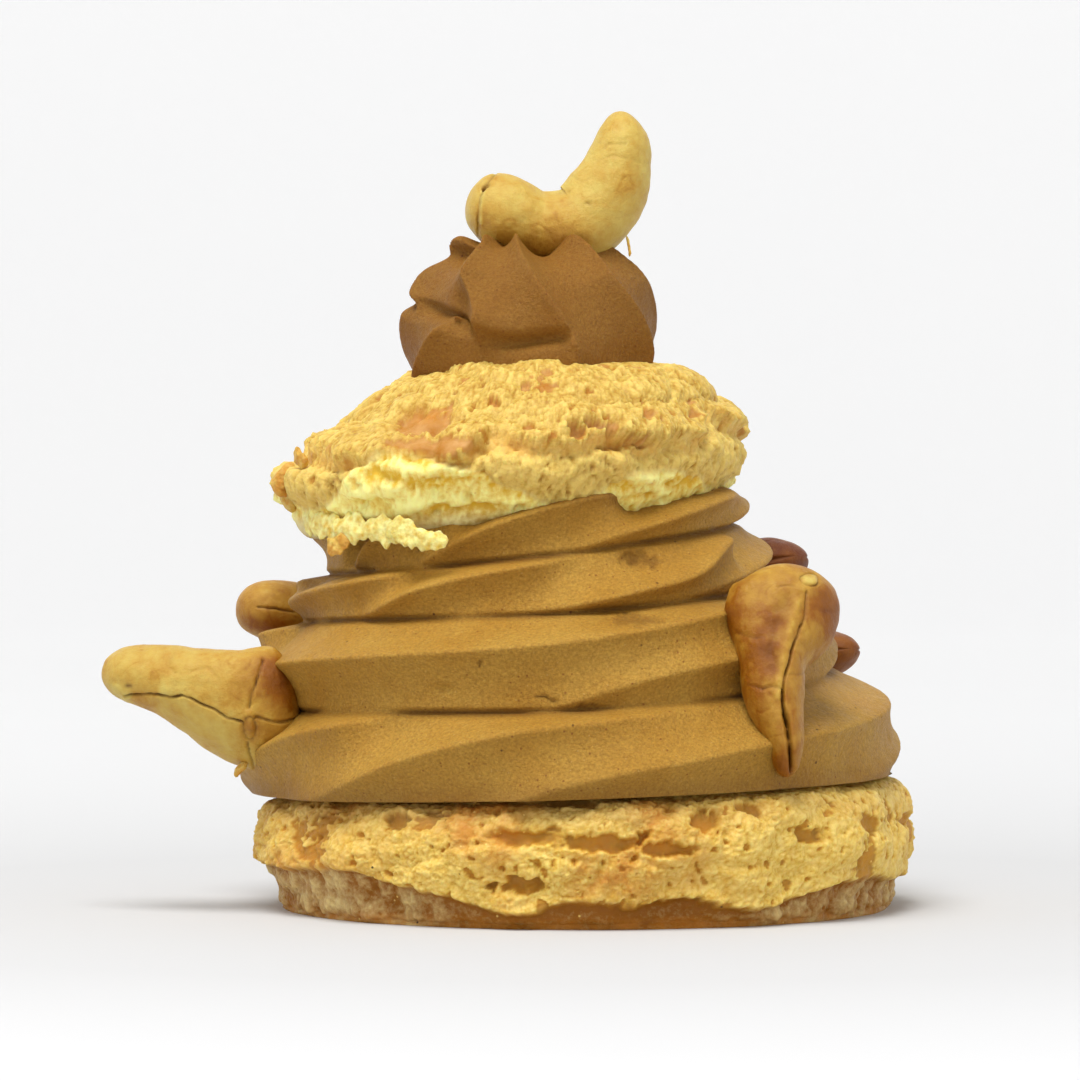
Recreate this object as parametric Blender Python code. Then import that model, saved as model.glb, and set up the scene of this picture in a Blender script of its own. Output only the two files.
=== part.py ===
"""A tall cream puff: a craggy choux base, a piped tower of nut cream, a torn choux lid with a
rosette of the same cream, and six roasted cashews pressed in.

Metres, +Z up, -Y is the front. The origin is the middle of the flat underside of the base.
Tables are in millimetres and degrees. Round the puff, an angle is counted from +X towards +Y,
and a turn is counted from the front (-Y), counterclockwise seen from above.
"""

import math

import bpy
import numpy as np
from mathutils import Vector, noise

MM = 0.001
GAP = 0.3 * MM  # clearance kept between pieces that rest on each other
FRONT = math.radians(-90)

# Choux base: a squat disc whose crust bulges over a paler foot.
BASE_RADIUS = 40.0 * MM
BASE_HEIGHT = 15.0 * MM
BASE_TOP_SLOPE = math.tan(math.radians(1.8))  # the top rises towards +X
BASE_FOOT = 3.7 * MM  # mean height of the crust's lower edge
BASE_FOOT_UNEVEN = 1.6 * MM
BASE_FOOT_TUCK = 1.4 * MM
BASE_LUMPS = ((0.9, 11, 1.0), (0.6, 5, 2.0))  # height, width and seed of each size of lump
BASE_CRACK_DEPTH = 0.9 * MM
BASE_PLATES = (8.5, 4.0)  # width and seed of the plates that the crust breaks into
BASE_OUTLINE = (  # radius and height of the side, as shares of the base's own
    (0.935, 0.0), (0.962, 0.05), (0.972, 0.18), (0.985, 0.34), (1.000, 0.50),
    (1.000, 0.68), (0.985, 0.84), (0.945, 0.95), (0.880, 1.00),
)

# Cream tower: one rope from a star nozzle, wound up counterclockwise in stacked laps.
TOWER_AXIS = ((12, -1.3), (20, -2.0), (31.6, -4.8), (43, -5.7), (60, -5.9))  # height, x
LAP_TOP = (  # turn, height of the crease above the rope
    (-2.0, 0.0), (-1.0, 13.5), (-0.75, 15.4), (-0.5, 19.3), (-0.25, 23.7), (-0.1, 24.5), (0.0, 24.9),
    (0.12, 26.6), (0.25, 29.1), (0.5, 31.8), (0.75, 34.4), (0.92, 35.4), (1.0, 35.9), (1.12, 37.6),
    (1.25, 39.3), (1.5, 39.9), (1.75, 40.3), (1.9, 41.2), (2.0, 42.6), (2.12, 45.0), (2.25, 46.8),
    (2.5, 47.6), (2.75, 48.4), (3.0, 50.5), (3.25, 53.5), (3.6, 56.0), (4.6, 60.0),
)
LAP_REACH = (  # turn, radius of the rope's outermost ridges
    (-1.0, 40.0), (-0.25, 40.8), (0.25, 40.9), (0.5, 39.2), (0.75, 36.8), (1.0, 36.9), (1.25, 36.6),
    (1.5, 34.4), (1.75, 31.4), (2.0, 31.6), (2.25, 29.0), (2.75, 28.2), (3.0, 27.6), (3.25, 26.8),
    (3.6, 23.0), (4.6, 16.0),
)
CREASE_DEPTH = 2.1 * MM
ROPE_BELLY = 2.3 * MM  # how far the rope falls back from its middle to its top and bottom
FACET_SAG = 0.8 * MM
RIDGE_FADE = 0.8  # from here to a crease, a ridge sinks into it
# Each ridge of the rope leaves the lower crease at the first of these turns, crosses a quarter, a
# half and three quarters of the rope's height at the next three, and meets the upper crease at
# the last.
RIDGES = (
    (-1.00, -0.90, -0.80, -0.70, -0.60), (-0.84, -0.75, -0.66, -0.57, -0.46),
    (-0.68, -0.59, -0.50, -0.41, -0.30), (-0.50, -0.43, -0.36, -0.29, -0.20),
    (-0.33, -0.27, -0.215, -0.165, -0.09), (-0.18, -0.125, -0.09, -0.045, 0.11),
    (-0.045, -0.005, 0.065, 0.25, 0.42), (0.12, 0.22, 0.30, 0.40, 0.56), (0.32, 0.40, 0.48, 0.58, 0.70),
    (0.46, 0.54, 0.62, 0.69, 0.78), (0.58, 0.68, 0.80, 1.02, 1.15), (0.99, 1.045, 1.16, 1.26, 1.37),
    (1.18, 1.26, 1.33, 1.42, 1.52), (1.34, 1.42, 1.49, 1.57, 1.66), (1.50, 1.57, 1.64, 1.71, 1.80),
    (1.64, 1.71, 1.78, 1.85, 1.92), (1.865, 1.895, 1.915, 1.95, 2.03), (1.985, 2.06, 2.115, 2.135, 2.17),
    (2.08, 2.15, 2.22, 2.31, 2.40), (2.24, 2.32, 2.40, 2.48, 2.56), (2.42, 2.49, 2.56, 2.63, 2.70),
    (2.57, 2.64, 2.71, 2.77, 2.83), (2.835, 2.855, 2.875, 2.905, 2.96), (2.90, 2.935, 2.965, 3.01, 3.09),
    (3.02, 3.08, 3.14, 3.22, 3.32), (3.16, 3.24, 3.32, 3.41, 3.50), (3.34, 3.42, 3.50, 3.60, 3.70),
)
TOWER_TOP = 53.0 * MM  # reached beside the lid on the +X side
TOWER_TOP_ROUND = 3.6 * MM
DENTS = (  # turn, height, half width, half height and depth of burst bubbles
    (2.075, 41.3, 2.6, 1.2, 0.8), (2.045, 36.1, 3.4, 0.8, 1.0), (0.94, 27.5, 1.2, 0.5, 0.5),
)

# Choux lid: outlines of its -X and +X sides, radius and height, from the underside to the top.
LID_AXIS = -9.4 * MM
LID_LEFT = (
    (0, 46.2), (8, 45.9), (16, 45.5), (21.5, 45.0), (24.4, 44.9), (25.9, 46.4), (26.6, 48.4), (28.6, 50.4),
    (28.9, 52.4), (26.8, 54.7), (23.4, 56.3), (20.3, 57.7), (18.5, 59.8), (15.7, 62.0), (12.0, 63.9),
    (8.0, 65.4), (3.5, 66.3), (0, 66.6),
)
LID_RIGHT = (
    (0, 46.2), (8, 46.3), (15, 46.4), (19.6, 46.6), (22.6, 47.4), (24.8, 48.9), (26.6, 50.6), (28.0, 52.4),
    (28.7, 54.6), (28.5, 57.0), (27.8, 58.9), (26.6, 60.2), (24.7, 61.1), (24.0, 62.8), (20.9, 65.0),
    (16.0, 66.4), (8.0, 67.0), (0, 66.6),
)
LID_LUMPS = ((0.8, 10, 7.0), (0.5, 4.5, 8.0))
LID_PLATES = (8.0, 9.0)
LID_CRACK_DEPTH = 0.6 * MM
LID_LIP = 56.0 * MM  # mean height of the edge of the upper crust
LID_LIP_UNEVEN = 1.2 * MM
LID_LIP_STEP = 0.8 * MM
LID_BELLY = (45.8 * MM, 48 * MM)  # the rough side begins between these heights
LID_UNDER_ROSETTE = (64.6 * MM, 66 * MM)  # and is nearly smooth above these
LID_SEAT_ROOM = 0.7 * MM  # more than the gap, for the lumps of the lid's rough side

# Rosette: outlines along a ridge and along the hollow between two, and the ridges' own angles
# at several climbs, in degrees from the front towards +X.
ROSETTE_AXIS = -6.6 * MM
ROSETTE_RIDGE = (
    (14.6, 61), (15.6, 64), (16.2, 66.5), (16.5, 69), (16.2, 72), (15.2, 75), (13.7, 77.4), (11.8, 79.2),
    (9.8, 80.8), (7.8, 81.8), (5.0, 80.8), (0, 78.6),
)
ROSETTE_HOLLOW = (
    (13.0, 61), (13.6, 64), (13.9, 66.5), (14.0, 69), (13.5, 72), (12.4, 75), (10.9, 76.9), (9.3, 78.1),
    (7.7, 79.0), (6.2, 79.4), (4.2, 78.9), (0, 78.3),
)
HOLLOW_BLUNT = 0.85  # 1 would be a plain arch between two ridges
HOLLOW_FULL = 45  # degrees between two ridges where their hollow has its whole depth
HOLLOW_LEAST, HOLLOW_MOST = 0.4, 1.25
ROSETTE_CLIMBS = (0.20, 0.34, 0.50, 0.68, 0.75)  # shares of the way from the foot to the middle
ROSETTE_RIDGES = (  # each ridge's angle at those climbs
    (-70, -80, -92, -88, -78), (-27, -26, -38, -38, -46), (20, 12, 0, -10, -14), (68, 57, 43, 43, 42),
    (118, 104, 88, 82, 80), (178, 166, 148, 134, 128), (222, 212, 200, 188, 182),
)
ROSETTE_LOW_CLIMBS = (0.05, 0.22, 0.34)
ROSETTE_LOW_RIDGES = ((-168, -150, -138), (-124, -104, -92), (-76, -54, -38), (20, 20, 20), (60, 60, 60))
ROSETTE_CREASE = (
    (-200, 77), (-120, 75), (-90, 73.6), (-52, 71.6), (-40, 70.8), (-28, 69.6), (-18, 68.6), (16, 68.8),
)
ROSETTE_CREASE_DEPTH = 1.5
ROSETTE_CREASE_HALF = 0.8
ROSETTE_LAP_BLEND = (-0.2, 0.4)  # the lower lap begins this far below the crease
ROSETTE_SOFTEN = math.radians(2.6)  # each ridge is rounded over this much either way
ROSETTE_DENTS = (  # angle, height, half width, half height and depth; a knob has a negative depth
    (-37, 73.0, 9, 2.6, 1.8), (-84, 79.2, 26, 1.1, 1.6), (-72, 81.4, 20, 1.4, -1.3),
)

# Cashews: points along the middle of each kernel, from the blunt end to the tip, each with its
# half depth in the plane of the kernel's curve and its half width across that plane, and the
# direction of the width.
CASHEWS = {
    "cashew_top": ((0.22, -1.0, 0.0), (
        (-14.5, -1.6, 85.0, 4.1, 4.6), (-11.0, -0.9, 84.8, 4.8, 5.2), (-5.6, -0.2, 83.0, 4.2, 4.9),
        (-0.8, 0.0, 83.2, 5.0, 4.8), (2.6, 0.0, 86.8, 4.9, 4.4), (4.2, 0.0, 91.4, 3.9, 3.9),
        (4.4, 0.0, 97.0, 2.4, 3.0),
    )),
    "cashew_left": ((-0.12, -0.30, 1.0), (
        (-34.6, -10.8, 24.5, 4.6, 6.1), (-38.2, -12.0, 24.5, 5.2, 7.5), (-42.0, -12.4, 25.0, 5.0, 7.0),
        (-46.2, -11.8, 26.5, 4.6, 5.5), (-50.6, -10.4, 27.9, 4.2, 4.2), (-54.2, -8.8, 28.5, 3.8, 3.5),
        (-57.7, -6.8, 28.8, 3.2, 2.6),
    )),
    "cashew_front": ((1.0, 0.22, 0.0), (
        (23.5, -24.2, 41.7, 3.8, 4.6), (23.3, -25.0, 38.4, 4.6, 6.4), (22.4, -26.4, 34.8, 4.8, 6.7),
        (21.5, -28.8, 30.4, 4.4, 4.0), (21.7, -30.6, 25.8, 3.8, 3.3), (22.8, -31.8, 21.2, 3.2, 2.3),
        (23.0, -32.2, 17.2, 2.4, 1.7),
    )),
    "cashew_rear_left": ((0.1, 0.3, 1.0), (
        (-43.4, 12.0, 36.0, 3.6, 3.2), (-40.0, 12.8, 35.9, 4.2, 3.7), (-35.0, 14.8, 35.4, 4.2, 3.6),
        (-31.4, 18.2, 35.0, 4.0, 3.5), (-29.6, 22.6, 35.0, 3.6, 3.2), (-29.8, 27.2, 35.4, 3.0, 2.6),
    )),
    "cashew_rear_high": ((-0.2, 0.2, 1.0), (
        (27.2, 14.0, 42.6, 3.4, 1.9), (24.2, 16.6, 41.6, 4.4, 3.6), (20.4, 20.0, 40.4, 4.4, 3.9),
        (15.6, 22.2, 39.8, 4.2, 3.7), (10.6, 22.2, 39.6, 3.6, 3.2), (6.2, 20.4, 39.6, 2.8, 2.6),
    )),
    "cashew_rear_low": ((-0.2, 0.3, 1.0), (
        (33.9, 15.6, 30.9, 2.6, 1.7), (31.2, 18.6, 30.4, 3.8, 2.9), (27.4, 22.0, 29.6, 4.2, 3.6),
        (22.2, 24.2, 28.8, 4.2, 3.7), (17.2, 24.2, 28.4, 3.6, 3.2), (12.8, 22.4, 28.4, 2.8, 2.6),
    )),
}
CASHEW_END = 0.17  # share of the length that rounds off at each end
CASHEW_ROUND = 2.4  # 2 would be an ellipse
SEAM_DEPTH = 0.55 * MM


def smooth_curve(knots, at):
    """Values at the places `at` of a smooth line through knots, each a place and its values."""
    table = np.array(knots, float)
    x, y = table[:, 0], table[:, 1:]
    slope = np.gradient(y, x, axis=0)
    i = np.clip(np.searchsorted(x, at) - 1, 0, len(x) - 2)
    h = (x[i + 1] - x[i])[..., None]
    s = np.clip((at - x[i]) / h[..., 0], 0, 1)[..., None]
    return (
        y[i] * (1 + 2 * s) * (1 - s) ** 2
        + y[i + 1] * s * s * (3 - 2 * s)
        + h * s * (1 - s) * (slope[i] * (1 - s) - slope[i + 1] * s)
    )


def value_at(knots, at):
    return smooth_curve(knots, np.asarray(at, float))[..., 0]


def evenly_along(points, count):
    """`count` places evenly spaced along a smooth line through the points."""
    p = np.array(points, float)
    steps = np.linalg.norm(np.diff(p[:, :3], axis=0), axis=1)
    lengths = np.concatenate([[0], np.cumsum(steps)])
    return smooth_curve(np.column_stack([lengths, p]), np.linspace(0, lengths[-1], count))


def smooth_step(x, low, high):
    t = np.clip((x - low) / (high - low), 0, 1)
    return t * t * (3 - 2 * t)


def wave(point, size, seed):
    """Smooth noise from -1 to 1 with features of this size."""
    return noise.noise(Vector(point) / size + Vector((seed, seed * 1.7, -seed)))


def lumps(point, table):
    """Height of the lumps of several sizes, added up."""
    return sum(height * MM * wave(point, width * MM, seed) for height, width, seed in table)


def cracks(point, plates):
    """From 1 on the lines between rounded plates to 0 on the plates."""
    width, seed = plates
    near, _ = noise.voronoi(Vector(point) / (width * MM) + Vector((seed, -seed, seed * 0.6)))
    return math.exp(-(((near[1] - near[0]) / 0.16) ** 2))


def closed_rings(name, rings, material):
    """A closed object through rings of points, each ring counterclockwise round the way from the
    first ring to the last, with a fan to the middle of the first and the last ring."""
    rows, columns, _ = rings.shape
    ends = rings[[0, -1]].mean(axis=1)
    points = np.concatenate([rings.reshape(-1, 3), ends])
    faces = []
    for row in range(rows - 1):
        for column in range(columns):
            a, b = row * columns + column, row * columns + (column + 1) % columns
            faces.append((a, b, b + columns))
            faces.append((a, b + columns, a + columns))
    low, high, last = rows * columns, rows * columns + 1, (rows - 1) * columns
    for column in range(columns):
        after = (column + 1) % columns
        faces.append((low, after, column))
        faces.append((high, last + column, last + after))
    mesh = bpy.data.meshes.new(name)
    mesh.from_pydata(points.tolist(), [], faces)
    mesh.materials.append(material)
    mesh.shade_smooth()
    piece = bpy.data.objects.new(name, mesh)
    bpy.context.scene.collection.objects.link(piece)
    return piece


def food(name, colour, roughness):
    material = bpy.data.materials.new(name)
    material.use_nodes = True
    shader = material.node_tree.nodes["Principled BSDF"]
    shader.inputs["Base Color"].default_value = (*colour, 1)
    shader.inputs["Roughness"].default_value = roughness
    shader.inputs["Metallic"].default_value = 0
    return material


def carve(piece, cutter):
    """Cuts the cutter's shape out of the piece, and keeps the cutter as a hidden helper."""
    cutter.hide_render = True
    cutter.display_type = "WIRE"
    cut = piece.modifiers.new(cutter.name, "BOOLEAN")
    cut.operation = "DIFFERENCE"
    cut.object = cutter
    cut.solver = "EXACT"


# --- choux base ---------------------------------------------------------------------------


def base_top(x):
    return BASE_HEIGHT + BASE_TOP_SLOPE * x


def base_relief(point, angle):
    """How far the crust stands out of the plain outline at a point of the side."""
    x, y, z = point
    edge = BASE_FOOT + BASE_FOOT_UNEVEN * wave((math.cos(angle), math.sin(angle), 0), 0.42, 3.0)
    tuck = BASE_FOOT_TUCK * (1 - smooth_step(z, edge - 1.2 * MM, edge + 0.6 * MM))
    on_crust = smooth_step(z, edge, edge + 2 * MM)
    broken = BASE_CRACK_DEPTH * on_crust * cracks((x, y, z * 1.5), BASE_PLATES)
    return lumps(point, BASE_LUMPS) - tuck - broken


def choux_base(material, columns=70, side_rows=13):
    side = evenly_along(BASE_OUTLINE, side_rows) * (BASE_RADIUS, BASE_HEIGHT)
    angles = np.arange(columns) * 2 * math.pi / columns
    rings = []
    for share in (0.35, 0.75):
        reach = side[0, 0] * share
        rings.append([(reach * math.cos(a), reach * math.sin(a), 0) for a in angles])
    for row, (radius, height) in enumerate(side):
        ring = []
        for a in angles:
            z = height * (1 + BASE_TOP_SLOPE * radius * math.cos(a) / BASE_HEIGHT)
            fade = 0.35 if row in (0, side_rows - 1) else 1.0
            out = radius + fade * base_relief((radius * math.cos(a), radius * math.sin(a), z), a)
            ring.append((out * math.cos(a), out * math.sin(a), z))
        rings.append(ring)
    for share in (0.75, 0.35):
        x, y = side[-1, 0] * share * np.cos(angles), side[-1, 0] * share * np.sin(angles)
        rings.append(np.stack([x, y, base_top(x)], 1))
    return closed_rings("choux_base", np.array(rings), material)


# --- cream tower --------------------------------------------------------------------------


def axis_at(height):
    return value_at(TOWER_AXIS, height / MM) * MM


def ridge_places(turn):
    """Where the ridges cross the rope at this turn, from -1 at its lower crease to 1."""
    places = [
        float(value_at(list(zip(ridge, (-1, -0.5, 0, 0.5, 1), strict=True)), turn))
        for ridge in RIDGES
        if ridge[0] < turn < ridge[-1]
    ]
    return sorted(np.clip(places, -0.999, 0.999))


def rope_side(turn, places):
    """Radius of the rope's outer side at this turn, at places from -1 to 1 across it."""
    reach, above = value_at(LAP_REACH, [turn, turn + 1]) * MM
    knots, radii = [-1.0], [reach - CREASE_DEPTH]
    for v in ridge_places(turn):
        crease = (above if v > 0 else reach) - CREASE_DEPTH
        fade = smooth_step(abs(v), RIDGE_FADE, 1)
        knots.append(v)
        radii.append((reach - ROPE_BELLY * v * v) * (1 - fade) + crease * fade)
    knots, radii = [*knots, 1.0], [*radii, above - CREASE_DEPTH]
    chord = np.interp(places, knots, radii)
    i = np.clip(np.searchsorted(knots, places) - 1, 0, len(knots) - 2)
    width = np.diff(knots)[i]
    share = (places - np.array(knots)[i]) / width
    return chord - FACET_SAG * np.clip(width / 0.8, 0, 1.3) * 4 * share * (1 - share)


def tower_radius(angle, heights):
    """Radius of the tower at one angle, at each height."""
    radius = np.zeros(len(heights))
    for lap in range(-1, 5):
        turn = (angle - FRONT) / (2 * math.pi) + lap
        low, high = value_at(LAP_TOP, [turn - 1, turn]) * MM
        place = (heights - low) / (high - low) * 2 - 1
        inside = np.abs(place) <= 1
        radius[inside] = rope_side(turn, place[inside])
    return radius


def tower_surface(angles, heights):
    """Radius at each height and angle, with its ridges rounded and its dents pressed in."""
    rows = []
    for angle in angles:
        taps = [tower_radius(angle, heights + step * MM) for step in (-0.7, -0.35, 0, 0.35, 0.7)]
        rows.append(np.average(taps, axis=0, weights=(1, 2, 3, 2, 1)))
    radius = np.array(rows).T
    for turn, height, wide, tall, depth in DENTS:
        off = (angles - FRONT - 2 * math.pi * turn + math.pi) % (2 * math.pi) - math.pi
        across, up = off * radius / MM / wide, (heights[:, None] / MM - height) / tall
        radius -= depth * MM * np.exp(-(across**2) - up**2)
    close = np.clip((heights[:, None] - TOWER_TOP) / TOWER_TOP_ROUND + 1, 0, 0.96)
    return radius * np.sqrt(1 - close**2)


def tower_angles(columns):
    """Angles round the tower, closer together at the front."""
    even = np.arange(columns) * 2 * math.pi / columns
    return FRONT + even - 0.28 * np.sin(even)


def cream_tower(material, columns=76, rows=27):
    angles = tower_angles(columns)
    heights = np.linspace(12.6 * MM, TOWER_TOP, rows)
    radius = tower_surface(angles, heights)
    x = radius * np.cos(angles)
    y = radius * np.sin(angles)
    z = np.broadcast_to(heights[:, None], x.shape)
    rings = np.stack([x + axis_at(z), y, z], 2)
    floor = base_top(rings[..., 0]) + GAP
    rings[..., 2] = np.maximum(rings[..., 2], floor)
    return closed_rings("cream_tower", rings, material)


# --- rosette ------------------------------------------------------------------------------


def ridged_ring(round_front, ridge, hollow, at):
    """A ring at these angles that meets the ridge outline at each angle in `at`, with a hollow
    between each two, deeper where they stand further apart."""
    at = np.sort(np.array(at) % 360)
    at = np.concatenate([at[-2:] - 360, at, at[:2] + 360])
    turned = round_front % 360
    i = np.clip(np.searchsorted(at, turned) - 1, 0, len(at) - 2)
    width = at[i + 1] - at[i]
    share = (turned - at[i]) / width
    into = (4 * share * (1 - share)) ** HOLLOW_BLUNT * np.clip(width / HOLLOW_FULL, HOLLOW_LEAST, HOLLOW_MOST)
    return ridge * (1 - into[:, None]) + hollow * into[:, None]


def rosette_surface(angles, rows):
    """Points of the rosette, row by row from its foot to its top."""
    ridge, hollow = evenly_along(ROSETTE_RIDGE, rows), evenly_along(ROSETTE_HOLLOW, rows)
    round_front = np.degrees((angles - FRONT + math.pi) % (2 * math.pi) - math.pi)
    line = value_at(ROSETTE_CREASE, np.clip(round_front, -200, 16))
    shown = smooth_step(round_front, -178, -150) * (1 - smooth_step(round_front, 14, 20))
    rings = []
    for row in range(rows):
        climb = row / (rows - 1)
        high = [np.interp(climb, ROSETTE_CLIMBS, ridge_angles) for ridge_angles in ROSETTE_RIDGES]
        low = [np.interp(climb, ROSETTE_LOW_CLIMBS, ridge_angles) for ridge_angles in ROSETTE_LOW_RIDGES]
        ring = ridged_ring(round_front, ridge[row], hollow[row], high)
        under = ridged_ring(round_front, ridge[row], hollow[row], low)
        below = (shown * smooth_step(line - ring[:, 1], *ROSETTE_LAP_BLEND))[:, None]
        ring = ring * (1 - below) + under * below
        height = ring[:, 1]
        ring[:, 0] -= ROSETTE_CREASE_DEPTH * shown * np.exp(-(((height - line) / ROSETTE_CREASE_HALF) ** 2))
        for angle, level, wide, tall, deep in ROSETTE_DENTS:
            across, up = (round_front - angle) / wide, (height - level) / tall
            ring[:, 0] -= deep * np.exp(-(across**2) - up**2)
        rings.append(ring * MM)
    return np.array(rings)


def cream_rosette(material, columns=66, rows=15):
    angles = FRONT + np.arange(columns) * 2 * math.pi / columns
    beside = [rosette_surface(angles + turn, rows) for turn in (-ROSETTE_SOFTEN, 0, ROSETTE_SOFTEN)]
    side = np.average(beside, axis=0, weights=(1, 2, 1))[:-1]
    x = side[..., 0] * np.cos(angles) + ROSETTE_AXIS
    y = side[..., 0] * np.sin(angles)
    return closed_rings("cream_rosette", np.stack([x, y, side[..., 1]], 2), material)


# --- choux lid ----------------------------------------------------------------------------


def lid_relief(point, angle):
    """How far the lid stands out of its plain outline at a point."""
    z = point[2]
    rough = smooth_step(z, *LID_BELLY) * (1 - 0.7 * smooth_step(z, *LID_UNDER_ROSETTE))
    lip = LID_LIP + LID_LIP_UNEVEN * wave((math.cos(angle), math.sin(angle), 0), 0.5, 5.0)
    plate = LID_LIP_STEP * (smooth_step(z, lip, lip + 1.2 * MM) - 0.5)
    broken = LID_CRACK_DEPTH * cracks(point, LID_PLATES)
    return rough * (lumps(point, LID_LUMPS) + plate - broken)


def lid_rings(columns, rows, seat=False):
    """Rings round the lid, or round the plain hollow that the cream leaves for it."""
    left, right = evenly_along(LID_LEFT, rows), evenly_along(LID_RIGHT, rows)
    angles = np.arange(columns) * 2 * math.pi / columns
    rings = []
    for a in angles:
        side = (1 + math.cos(a)) / 2
        profile = (left * (1 - side) + right * side) * MM
        along = np.gradient(profile, axis=0)
        normal = np.stack([along[:, 1], -along[:, 0]], 1)
        normal /= np.linalg.norm(normal, axis=1)[:, None]
        column = []
        for (radius, height), (out, up) in zip(profile[1:-1], normal[1:-1], strict=True):
            if seat:
                move = GAP + LID_SEAT_ROOM * smooth_step(height, *LID_BELLY)
            else:
                move = lid_relief((radius * math.cos(a), radius * math.sin(a), height), a)
            reach = radius + move * out
            column.append((LID_AXIS + reach * math.cos(a), reach * math.sin(a), height + move * up))
        rings.append(column)
    return np.array(rings).swapaxes(0, 1)


def choux_lid(material, columns=60, rows=20):
    return closed_rings("choux_lid", lid_rings(columns, rows), material)


# --- cashews ------------------------------------------------------------------------------


def cashew_rings(name, columns, rows, grow):
    """Rings round a kernel from its blunt end to its tip."""
    across, knots = CASHEWS[name]
    places = (1 - np.cos(np.linspace(0.16, math.pi - 0.16, rows))) / 2
    table = np.array(knots, float)
    steps = np.linalg.norm(np.diff(table[:, :3], axis=0), axis=1)
    lengths = np.concatenate([[0], np.cumsum(steps)])
    spine = smooth_curve(np.column_stack([lengths, table]), places * lengths[-1])
    along = np.gradient(spine[:, :3], axis=0)
    along /= np.linalg.norm(along, axis=1)[:, None]
    wide = np.array(across) - along * (along @ np.array(across))[:, None]
    wide /= np.linalg.norm(wide, axis=1)[:, None]
    deep = np.cross(along, wide)
    rings = []
    for row, s in enumerate(places):
        end = min(s / CASHEW_END, (1 - s) / CASHEW_END, 1)
        cap = (1 - (1 - end) ** CASHEW_ROUND) ** (1 / CASHEW_ROUND)
        ring = []
        for k in range(columns):
            around = 2 * math.pi * k / columns
            side, rise = math.cos(around), math.sin(around)
            seam = SEAM_DEPTH * math.exp(-((side / 0.2) ** 2))
            half_deep = spine[row, 3] * MM * cap - seam * cap + grow
            half_wide = spine[row, 4] * MM * cap + grow
            point = spine[row, :3] * MM + wide[row] * side * half_wide + deep[row] * rise * half_deep
            ring.append(point)
        rings.append(ring)
    return np.array(rings)


def cashew(name, material, columns=12, rows=12, grow=0.0, suffix=""):
    return closed_rings(name + suffix, cashew_rings(name, columns, rows, grow), material)


def build():
    for old in list(bpy.data.objects):
        bpy.data.objects.remove(old)
    crust = food("crust", (0.60, 0.38, 0.10), 0.75)
    cream = food("cream", (0.42, 0.21, 0.055), 0.55)
    nut = food("nut", (0.58, 0.33, 0.085), 0.45)
    choux_base(crust)
    tower = cream_tower(cream)
    rosette = cream_rosette(cream)
    choux_lid(crust)
    for cut in (tower, rosette):
        carve(cut, closed_rings(cut.name + "_lid_seat", lid_rings(40, 15, seat=True), crust))
    for name in CASHEWS:
        cashew(name, nut)
        held_by = rosette if name == "cashew_top" else tower
        carve(held_by, cashew(name, nut, grow=GAP, suffix="_socket"))


build()
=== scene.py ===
"""The looks of the cream puff: fine meshes for every CAD node, their materials, and a pale studio.

Metres, +Z up, -Y is the front. The shapes repeat part.py's named values and rules at a finer
pitch, and add what is too fine for the solids: crumb, grains, pits, seams, wrinkles and flakes.
"""

import math

import bpy
import numpy as np
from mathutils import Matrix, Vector, noise


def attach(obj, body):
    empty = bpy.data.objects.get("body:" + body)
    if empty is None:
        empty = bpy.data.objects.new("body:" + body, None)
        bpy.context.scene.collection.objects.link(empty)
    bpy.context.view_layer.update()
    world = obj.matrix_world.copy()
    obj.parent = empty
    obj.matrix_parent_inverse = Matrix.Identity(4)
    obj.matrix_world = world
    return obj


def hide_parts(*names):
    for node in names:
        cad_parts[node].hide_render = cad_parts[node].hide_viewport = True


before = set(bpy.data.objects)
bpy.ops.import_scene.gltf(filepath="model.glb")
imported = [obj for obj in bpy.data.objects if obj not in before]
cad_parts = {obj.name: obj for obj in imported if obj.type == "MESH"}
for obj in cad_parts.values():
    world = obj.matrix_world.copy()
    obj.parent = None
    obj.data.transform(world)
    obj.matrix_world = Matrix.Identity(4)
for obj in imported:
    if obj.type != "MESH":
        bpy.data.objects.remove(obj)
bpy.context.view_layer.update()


def oval(x, z, half_wide, half_tall):
    """The points of a line round an oval."""
    turns = [2 * math.pi * k / 12 for k in range(13)]
    return tuple((x + half_wide * math.cos(t), z + half_tall * math.sin(t)) for t in turns)


MM = 0.001
GAP = 0.05 * MM  # between the cream and what is pressed into it
FRONT = math.radians(-90)
NOISE_SEED = 7  # set, because noise_vector would differ from run to run without it
SOFTENING = (1, 2, 3, 2, 1)  # weights of the places that a soft ridge is averaged over

# Choux crust.
# The fifth mark is painted shade near the cream.
CRUST_MARKS = ("raised", "light", "pale", "brown", "painted_shade")
GRAIN_SIZES = (2, 1, 0.5)  # mm
PIT_DEPTH = 0.42  # mm, as are the next two
LAYER_LEAST = 0.2  # how thick the crumbly layer is at least,
LAYER_MORE = 0.45  # and how much more where it is thickest
CRACK_WIDTH = 0.16  # as a share of the plates between the cracks

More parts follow.
